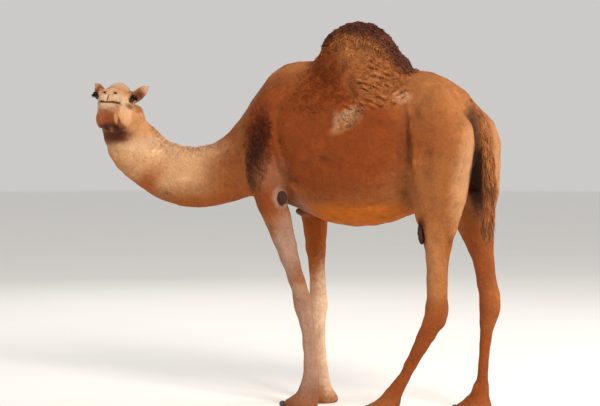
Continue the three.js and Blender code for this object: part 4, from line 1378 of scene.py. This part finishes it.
class CAMEL_OT_wool(bpy.types.Operator):
    """Grows the curled wool of the hump, the shoulder's dark hair and the flank's loose clumps"""

    bl_idname = "camel.wool"
    bl_label = "Wool"

    def execute(self, context):
        skin = hide()
        coat = settings()
        middle = skin.middle
        body = in_body(middle)
        cap = marked_share("hump cap", middle) * (1 - marked_share("hump flank", middle))
        above = ramp(body[:, 2], 1.76, 1.82) * ramp(body[:, 0], 0.41, 0.36)
        above = above * skin.on("hump", "trunk")

        def shorter_at_apex(at):
            from_apex = np.hypot(in_body(at)[:, 0] - HUMP_APEX[0], in_body(at)[:, 1])
            return coat.hump_wool * (0.4 + 0.6 * ramp(from_apex, 0.03, 0.10))

        dark = hair_material("hump_wool", root=0.7, tip=1.15, spread=0.30)
        grow_piece("wool_hump", 140, 7600, cap * above, dark, shorter_at_apex, 0.0075, "dark_wool",
                   lift=0.45, droop=0.30, stray=0.6, curl=0.15, turns=1.3, steps=4, flat=0.7)
        side = hair_material("hump_side_wool", spread=0.28)
        grow_piece("wool_hump_sides", 144, 6500, skin.on("hump") * (1.05 - cap), side, 0.020, 0.0036,
                   lift=0.34, droop=0.08, stray=0.40, steps=2, clump=0.5)
        where = skin.on("trunk") * (
            blob(middle, (0.06, 0.16, 1.76), (0.30, 0.5, 0.15))
            + 0.8 * blob(middle, (0.24, 0.14, 1.71), (0.20, 0.5, 0.12))
            + 0.5 * blob(middle, (-0.10, 0.16, 1.70), (0.20, 0.5, 0.16))
        )
        patches = ramp(wavy(body, 0.07, SEED + 12), -0.5, 0.8)
        where = where * (0.15 + patches) * (1 - 0.75 * marked_share("folds", middle))
        clumps = hair_material("flank_wool", root=0.72, tip=1.25, spread=0.28)
        grow_piece("wool_flank", 141, 7000, where, clumps, 0.020, 0.0032,
                   lift=0.42, droop=0.1, stray=0.5, steps=2, flat=0.6, clump=0.6)
        where = skin.on("trunk") * marked_share("worn patch", middle)
        pale = hair_material("worn_wool", 0.5, 1.25, 0.5, tint=coat.cream, tint_amount=0.12)
        grow_piece("wool_worn", 145, 600, where, pale, 0.024, 0.0034,
                   lift=0.30, droop=0.2, stray=0.5, curl=0.12, steps=3, flat=0.6, clump=1.2)
        where = skin.on("upper_arm", "trunk", "neck") * (
            blob(middle, (-0.405, 0.26, 1.40), (0.085, 0.22, 0.24))
            + blob(middle, (-0.44, 0.25, 1.26), (0.05, 0.22, 0.12))
        )
        shoulder = hair_material("shoulder_wool", root=0.6, tip=1.4, spread=0.4)
        grow_piece("wool_shoulder", 142, 6000, where, shoulder, 0.030, 0.0042,
                   lift=0.42, droop=0.1, stray=0.35, curl=0.08, steps=2, clump=0.6)
        top = ramp(skin.out[skin.faces[:, 0], 2], 0.55, 0.85)
        edge = skin.on("neck") * top + skin.on("trunk") * top * 0.4

        def longer_on_neck(at):
            return 0.012 + 0.009 * ramp(in_body(at)[:, 0], -0.50, -0.70)

        crest = hair_material("crest_hair", spread=0.2)
        grow_piece("hair_crest", 143, 5200, edge, crest, longer_on_neck, 0.0023,
                   lift=0.32, droop=0.0, stray=0.25, steps=2)
        return {"FINISHED"}


class CAMEL_OT_tail_hair(bpy.types.Operator):
    """Grows the tail's long hanging locks"""

    bl_idname = "camel.tail_hair"
    bl_label = "Tail hair"

    def execute(self, context):
        skin = hide()
        coat = settings()
        low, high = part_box("tail_tuft")

        def reach(at):
            # A lock ends above the tail's lowest point.
            room = np.maximum(at[:, 2] - low.z, 0.012)
            size = coat.tail_hair * ramp(at[:, 2], high.z + 0.28, high.z - 0.02)
            return np.maximum(np.minimum(size, room) * 0.8, 0.03)

        where = skin.on("tail_tuft") + 0.35 * skin.on("tail_dock")
        material = hair_material("tail_hair", 0.7, 1.4, 0.8, tint=coat.golden, tint_amount=0.22)
        grow_piece("hair_tail", 160, 6000, where, material, reach, 0.0036, "dark_wool",
                   lift=0.12, droop=0.05, stray=0.08, curl=0.03, steps=4, flat=0.6)
        return {"FINISHED"}


def head_roots(points, outs, lies, skin):
    """Roots at chosen places on the head, given in its frame, with their places on the unwrap."""
    at = head_to_row(np.array(points, float))
    turn = HEAD_AXES.T
    of_head = np.nonzero(np.isin(skin.names, ("head", "lower_jaw")))[0]
    middles = skin.middle[of_head]
    near = [int(of_head[((middles - p) ** 2).sum(1).argmin()]) for p in at]
    return {
        "at": at,
        "out": unit(np.array(outs, float) @ turn),
        "lie": unit(np.array(lies, float) @ turn),
        "uv": skin.uv[near].mean(1),
        "relief": np.zeros(len(at)),
    }


class CAMEL_OT_face_hair(bpy.types.Operator):
    """Grows the face's fine hair, the ears' fringe, the brows and the lashes"""

    bl_idname = "camel.face_hair"
    bl_label = "Face hair"

    def execute(self, context):
        skin = hide()
        h = in_head(skin.middle)
        either = folded(h)
        eye_gap = np.linalg.norm(either - (0, EYE_SPREAD + 0.012, 0), axis=1)
        clear = ramp(eye_gap, 0.018, 0.026)
        mouth = ramp(np.abs(h[:, 2] - MOUTH_HEIGHT), 0.003, 0.008)
        where = skin.on("head", "lower_jaw") * clear * np.where(h[:, 0] > 0.10, mouth, 1.0)

        def finer_on_muzzle(size, less):
            return lambda at: size - less * ramp(in_head(at)[:, 0], 0.02, 0.20)

        grow_piece("coat_face", 180, 40000, where, hair_material("face_hair", spread=0.16),
                   finer_on_muzzle(0.0085, 0.0045), finer_on_muzzle(0.0013, 0.0004),
                   lift=0.20, stray=0.16)
        grow_piece("hair_ears", 181, 6500, skin.on("ear"), hair_material("ear_hair", spread=0.25),
                   0.010, 0.0015, lift=0.35, stray=0.30)
        behind = ramp(h[:, 0], -0.06, -0.11) * ramp(h[:, 2], 0.02, 0.07)
        nape = np.linalg.norm((either - (-0.145, 0.095, 0.015)) / (0.06, 0.05, 0.06), axis=1)
        where = skin.on("head") * behind + skin.on("head", "neck") * ramp(nape, 1, 0.6) * 1.3
        grow_piece("hair_crown", 182, 3400, where, hair_material("crown_hair", spread=0.25),
                   0.016, 0.0021, lift=0.30, droop=0.1, stray=0.30, curl=0.05, steps=2)
        self.lashes(skin)
        return {"FINISHED"}

    def lashes(self, skin):
        rng = np.random.default_rng(SEED + 183)
        points, outs, lies, sizes = [], [], [], []
        for side in (1, -1):
            outward, forward, up = eye_axes(side)
            eye = np.array((0.0, side * EYE_SPREAD, 0.0))
            for lid, count, tall, reach in ((1, 300, LID_ABOVE, 0.021), (-1, 110, LID_BELOW, 0.010)):
                for t in rng.uniform(-0.96, 0.96, count):
                    rise = lid * tall * (1 - t * t) ** 0.6
                    on_ball = np.array((t * LID_LENGTH, rise)) / EYE_RADIUS
                    depth = math.sqrt(max(1 - (on_ball**2).sum(), 0.02))
                    ray = outward * depth + forward * on_ball[0] + up * on_ball[1]
                    points.append(eye + unit(ray) * (EYE_RADIUS + 0.0028))
                    outs.append(ray + up * 0.6 * lid)
                    sweep = outward * 0.9 + forward * 0.30 * t - up * (0.55 if lid > 0 else 0.35)
                    lies.append(sweep)
                    sizes.append(reach)
            # The brow's long dark hair.
            for t in rng.uniform(-1, 1, 420):
                ray = outward * 0.70 + forward * (0.62 * t) + up * (0.72 + 0.22 * rng.random())
                points.append(eye + unit(ray) * (EYE_RADIUS + 0.006))
                outs.append(ray)
                lies.append(outward * 0.85 + forward * (0.55 * t) - up * 0.12)
                sizes.append(0.017)
        roots = head_roots(points, outs, lies, skin)
        lie, out = roots["lie"], roots["out"]
        roots["lie"] = unit(lie - out * (lie * out).sum(1, keepdims=True))
        black = settings().soot
        material = hair_material("lashes", tint=black, tint_amount=0.95, rough=0.4)
        tufts("lashes", roots, material, "dark_wool", rng, np.array(sizes), 0.0012,
              lift=0.35, droop=-0.15, stray=0.16, steps=3)


# ---------------------------------------------------------------- eyes, nails and pads


def eye_material():
    """A dark wet eye, with a brown iris round a long level pupil."""
    material, tree, shader, place = new_material("wet_eye")
    local = seen_from(tree, place, tuple(EYE_MIDDLE), HEAD_EULER)
    x, _, z = split(tree, local)
    iris_ahead = 0.0075  # of the eyeball's middle, as the eyes look forward
    flat = joined(tree, maths(tree, "SUBTRACT", x, iris_ahead), z)

    def ring(long, tall, near, far):
        inputs = {0: flat, 1: (1 / long, 1 / tall, 0)}
        away = add(tree, "ShaderNodeVectorMath", inputs, operation="MULTIPLY").outputs[0]
        return remap(tree, length_of(tree, away), 0.0, 1.0, far, near, "SMOOTHSTEP")

    fibres = noise(tree, local, 420.0, 3.0)
    iris = mix(tree, fibres, (0.050, 0.020, 0.008, 1), (0.012, 0.005, 0.003, 1))
    white = (0.055, 0.030, 0.024, 1)
    coloured = mix(tree, ring(0.013, 0.013, 0.9, 1.1), white, iris)
    with_pupil = mix(tree, ring(0.0080, 0.0035, 0.85, 1.1), coloured, (0.002, 0.0015, 0.0015, 1))
    set_surface(tree, shader, with_pupil, 0.08)
    shader.inputs["IOR"].default_value = 1.28
    return material


class CAMEL_OT_eyes(bpy.types.Operator):
    """Makes the eyeballs, each with the bulge of its cornea"""

    bl_idname = "camel.eyes"
    bl_label = "Eyes"

    def execute(self, context):
        material = eye_material()
        for hand, side in (("left", 1), ("right", -1)):
            deselect_all()
            bpy.ops.mesh.primitive_uv_sphere_add(segments=48, ring_count=32, radius=EYE_RADIUS)
            ball = bpy.context.object
            ball.name = f"eyeball_{hand}"
            outward, _, _ = eye_axes(side)
            co = places(ball.data)
            swell = 1 + 0.05 * ramp(unit(co) @ outward, 0.78, 0.97)
            set_places(ball.data, head_to_row(co * swell[:, None] + (0, side * EYE_SPREAD, 0)))
            ball.data.shade_smooth()
            ball.data.materials.append(material)
            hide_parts(f"eye_{hand}")
            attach(ball, "root")
        return {"FINISHED"}


def rounded_copy(node, name, levels):
    """A smoothed copy of a CAD node that fills the same box."""
    piece = bpy.data.objects.new(name, frame["nodes"][node].data.copy())
    bpy.context.scene.collection.objects.link(piece)
    edit(piece, lambda: bpy.ops.mesh.remove_doubles(threshold=1e-5))
    low, high = (np.array(v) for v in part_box(node))
    apply_modifier(piece, "SUBSURF", levels=levels, render_levels=levels)
    co = places(piece.data)
    size = co.max(0) - co.min(0)
    set_places(piece.data, (co - co.min(0)) / size * (high - low) + low)
    piece.data.shade_smooth()
    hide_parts(node)
    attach(piece, "root")
    return piece


def nail_material():
    """Dull grey brown horn, ridged and scuffed."""
    material, tree, shader, place = new_material("horn_nail")
    inputs = {"Vector": place, "Scale": 90.0, "Distortion": 3.0, "Detail": 3.0}
    growth = add(tree, "ShaderNodeTexWave", inputs)
    scuff = noise(tree, place, 120.0, 6.0)
    base = mix(tree, scuff, (0.030, 0.019, 0.015, 1), (0.12, 0.080, 0.058, 1))
    base = mix(tree, 0.4, base, growth.outputs["Color"], "MULTIPLY")
    set_surface(tree, shader, base, remap(tree, scuff, 0.38, 0.75))
    bump(tree, growth.outputs["Fac"], 0.35, 0.001, shader)
    return material


class CAMEL_OT_nails(bpy.types.Operator):
    """Makes the toenails"""

    bl_idname = "camel.nails"
    bl_label = "Nails"

    def execute(self, context):
        material = nail_material()
        for node in NAILS:
            nail = rounded_copy(node, node.replace("nail", "toenail"), 2)
            repaint(nail.data, material)
        return {"FINISHED"}


def callus_material(name, deep, light):
    """Hard hairless hide, cracked and patchy between a deep and a light colour."""
    material, tree, shader, place = new_material(name)
    inputs = {"Vector": place, "Scale": 95.0}
    cells = add(tree, "ShaderNodeTexVoronoi", inputs, feature="DISTANCE_TO_EDGE")
    cracks = remap(tree, cells.outputs["Distance"], 0.0, 1.0, 0.0, 0.12)
    patchy = noise(tree, place, 40.0, 5.0)
    base = mix(tree, patchy, rgba(deep), rgba(light))
    base = mix(tree, cracks, rgba(0.5 * level for level in deep), base)
    set_surface(tree, shader, base, remap(tree, patchy, 0.5, 0.85), 0.15)
    bump(tree, cracks, 0.5, 0.0015, shader)
    return material


class CAMEL_OT_pads(bpy.types.Operator):
    """Makes the hard pads that the camel kneels and lies on"""

    bl_idname = "camel.pads"
    bl_label = "Kneeling pads"

    def execute(self, context):
        worn = callus_material("callus_hide", (0.040, 0.013, 0.008), (0.085, 0.032, 0.018))
        haired = callus_material("haired_callus", (0.170, 0.050, 0.012), (0.300, 0.100, 0.030))
        for number, node in enumerate(PADS):
            pad = rounded_copy(node, node.replace("pad", "callus"), 3)
            co = places(pad.data)
            rough = wavy(co, 0.022, SEED + 30 + number) * 0.0009
            set_places(pad.data, co + normals(pad.data) * rough[:, None])
            repaint(pad.data, haired if node == "chest_pad" else worn)
        return {"FINISHED"}


# ---------------------------------------------------------------- stage

CAMERA_FROM_ORIGIN = Vector((3.5336, -8.1568, 1.42))
CAMERA_YAW = 25.0
CAMERA_TILT = -2.102
PIXELS_FOCAL = 1665.0
PIXELS_WIDE = 600.0
SENSOR = 36.0
LAMPS_AIM = Vector((0, 0, 1.2))
STUDIO_COLOUR = (1.0, 0.985, 0.96)
STUDIO_STRENGTH = 0.60


class CAMEL_OT_stage(bpy.types.Operator):
    """Sets the floor, the soft studio light and the camera"""

    bl_idname = "camel.stage"
    bl_label = "Stage"

    def execute(self, context):
        stage = context.scene.camel_stage
        deselect_all()
        bpy.ops.mesh.primitive_circle_add(vertices=96, radius=stage.floor_radius, fill_type="NGON")
        floor = context.object
        floor.name = "floor"
        material, tree, shader, place = new_material("pale_floor")
        cloudy = remap(tree, noise(tree, place, 1.2, 3.0), 0.98, 1.02)
        set_surface(tree, shader, scaled(tree, tuple(stage.floor), cloudy), 0.9)
        floor.data.materials.append(material)
        world = bpy.data.worlds.new("studio")
        context.scene.world = world
        world.use_nodes = True
        background = world.node_tree.nodes["Background"]
        background.inputs["Color"].default_value = rgba(STUDIO_COLOUR)
        background.inputs["Strength"].default_value = STUDIO_STRENGTH
        # name, place, size, share of the key's power, colour
        lamps = [
            ("key", (6.0, -3.8, 5.8), 2.4, 1.0, (1.0, 0.93, 0.82)),
            ("fill", (-4.0, -7.0, 3.0), 3.0, 0.18, (1.0, 0.97, 0.93)),
            ("rim", (6.0, 4.2, 4.2), 2.6, 0.42, (1.0, 0.95, 0.87)),
            ("back", (-4.0, 5.0, 4.5), 3.5, 0.15, (1.0, 0.97, 0.92)),
        ]
        for name, place, size, share, tint in lamps:
            data = bpy.data.lights.new(name, "AREA")
            data.size = size
            data.energy = stage.key_power * share
            data.color = tint
            lamp = bpy.data.objects.new(name, data)
            context.scene.collection.objects.link(lamp)
            lamp.location = place
            lamp.rotation_euler = (LAMPS_AIM - lamp.location).to_track_quat("-Z", "Y").to_euler()
        data = bpy.data.cameras.new("camera")
        data.sensor_width = SENSOR
        data.lens = PIXELS_FOCAL / PIXELS_WIDE * SENSOR
        camera = bpy.data.objects.new("camera", data)
        context.scene.collection.objects.link(camera)
        camera.location = Vector(ORIGIN) + CAMERA_FROM_ORIGIN
        camera.rotation_euler = (math.radians(90 + CAMERA_TILT), 0, math.radians(CAMERA_YAW))
        context.scene.camera = camera
        context.scene.view_settings.view_transform = "Standard"
        return {"FINISHED"}


# ---------------------------------------------------------------- panel and registration

STEPS = (
    CAMEL_OT_skin,
    CAMEL_OT_body_coat,
    CAMEL_OT_leg_coat,
    CAMEL_OT_wool,
    CAMEL_OT_tail_hair,
    CAMEL_OT_face_hair,
    CAMEL_OT_eyes,
    CAMEL_OT_nails,
    CAMEL_OT_pads,
    CAMEL_OT_stage,
)


class CAMEL_PT_panel(bpy.types.Panel):
    bl_label = "Camel"
    bl_idname = "CAMEL_PT_panel"
    bl_space_type = "VIEW_3D"
    bl_region_type = "UI"
    bl_category = "Camel"

    def draw(self, context):
        for step in STEPS:
            self.layout.operator(step.bl_idname)


CLASSES = (CamelCoatSettings, CamelStageSettings, *STEPS, CAMEL_PT_panel)


def register():
    for item in CLASSES:
        bpy.utils.register_class(item)
    bpy.types.Scene.camel_coat = bpy.props.PointerProperty(type=CamelCoatSettings)
    bpy.types.Scene.camel_stage = bpy.props.PointerProperty(type=CamelStageSettings)


def unregister():
    del bpy.types.Scene.camel_stage
    del bpy.types.Scene.camel_coat
    for item in reversed(CLASSES):
        bpy.utils.unregister_class(item)


def main():
    register()
    bpy.ops.camel.skin()
    bpy.ops.camel.body_coat()
    bpy.ops.camel.leg_coat()
    bpy.ops.camel.wool()
    bpy.ops.camel.tail_hair()
    bpy.ops.camel.face_hair()
    bpy.ops.camel.eyes()
    bpy.ops.camel.nails()
    bpy.ops.camel.pads()
    bpy.ops.camel.stage()


if __name__ == "__main__":
    main()
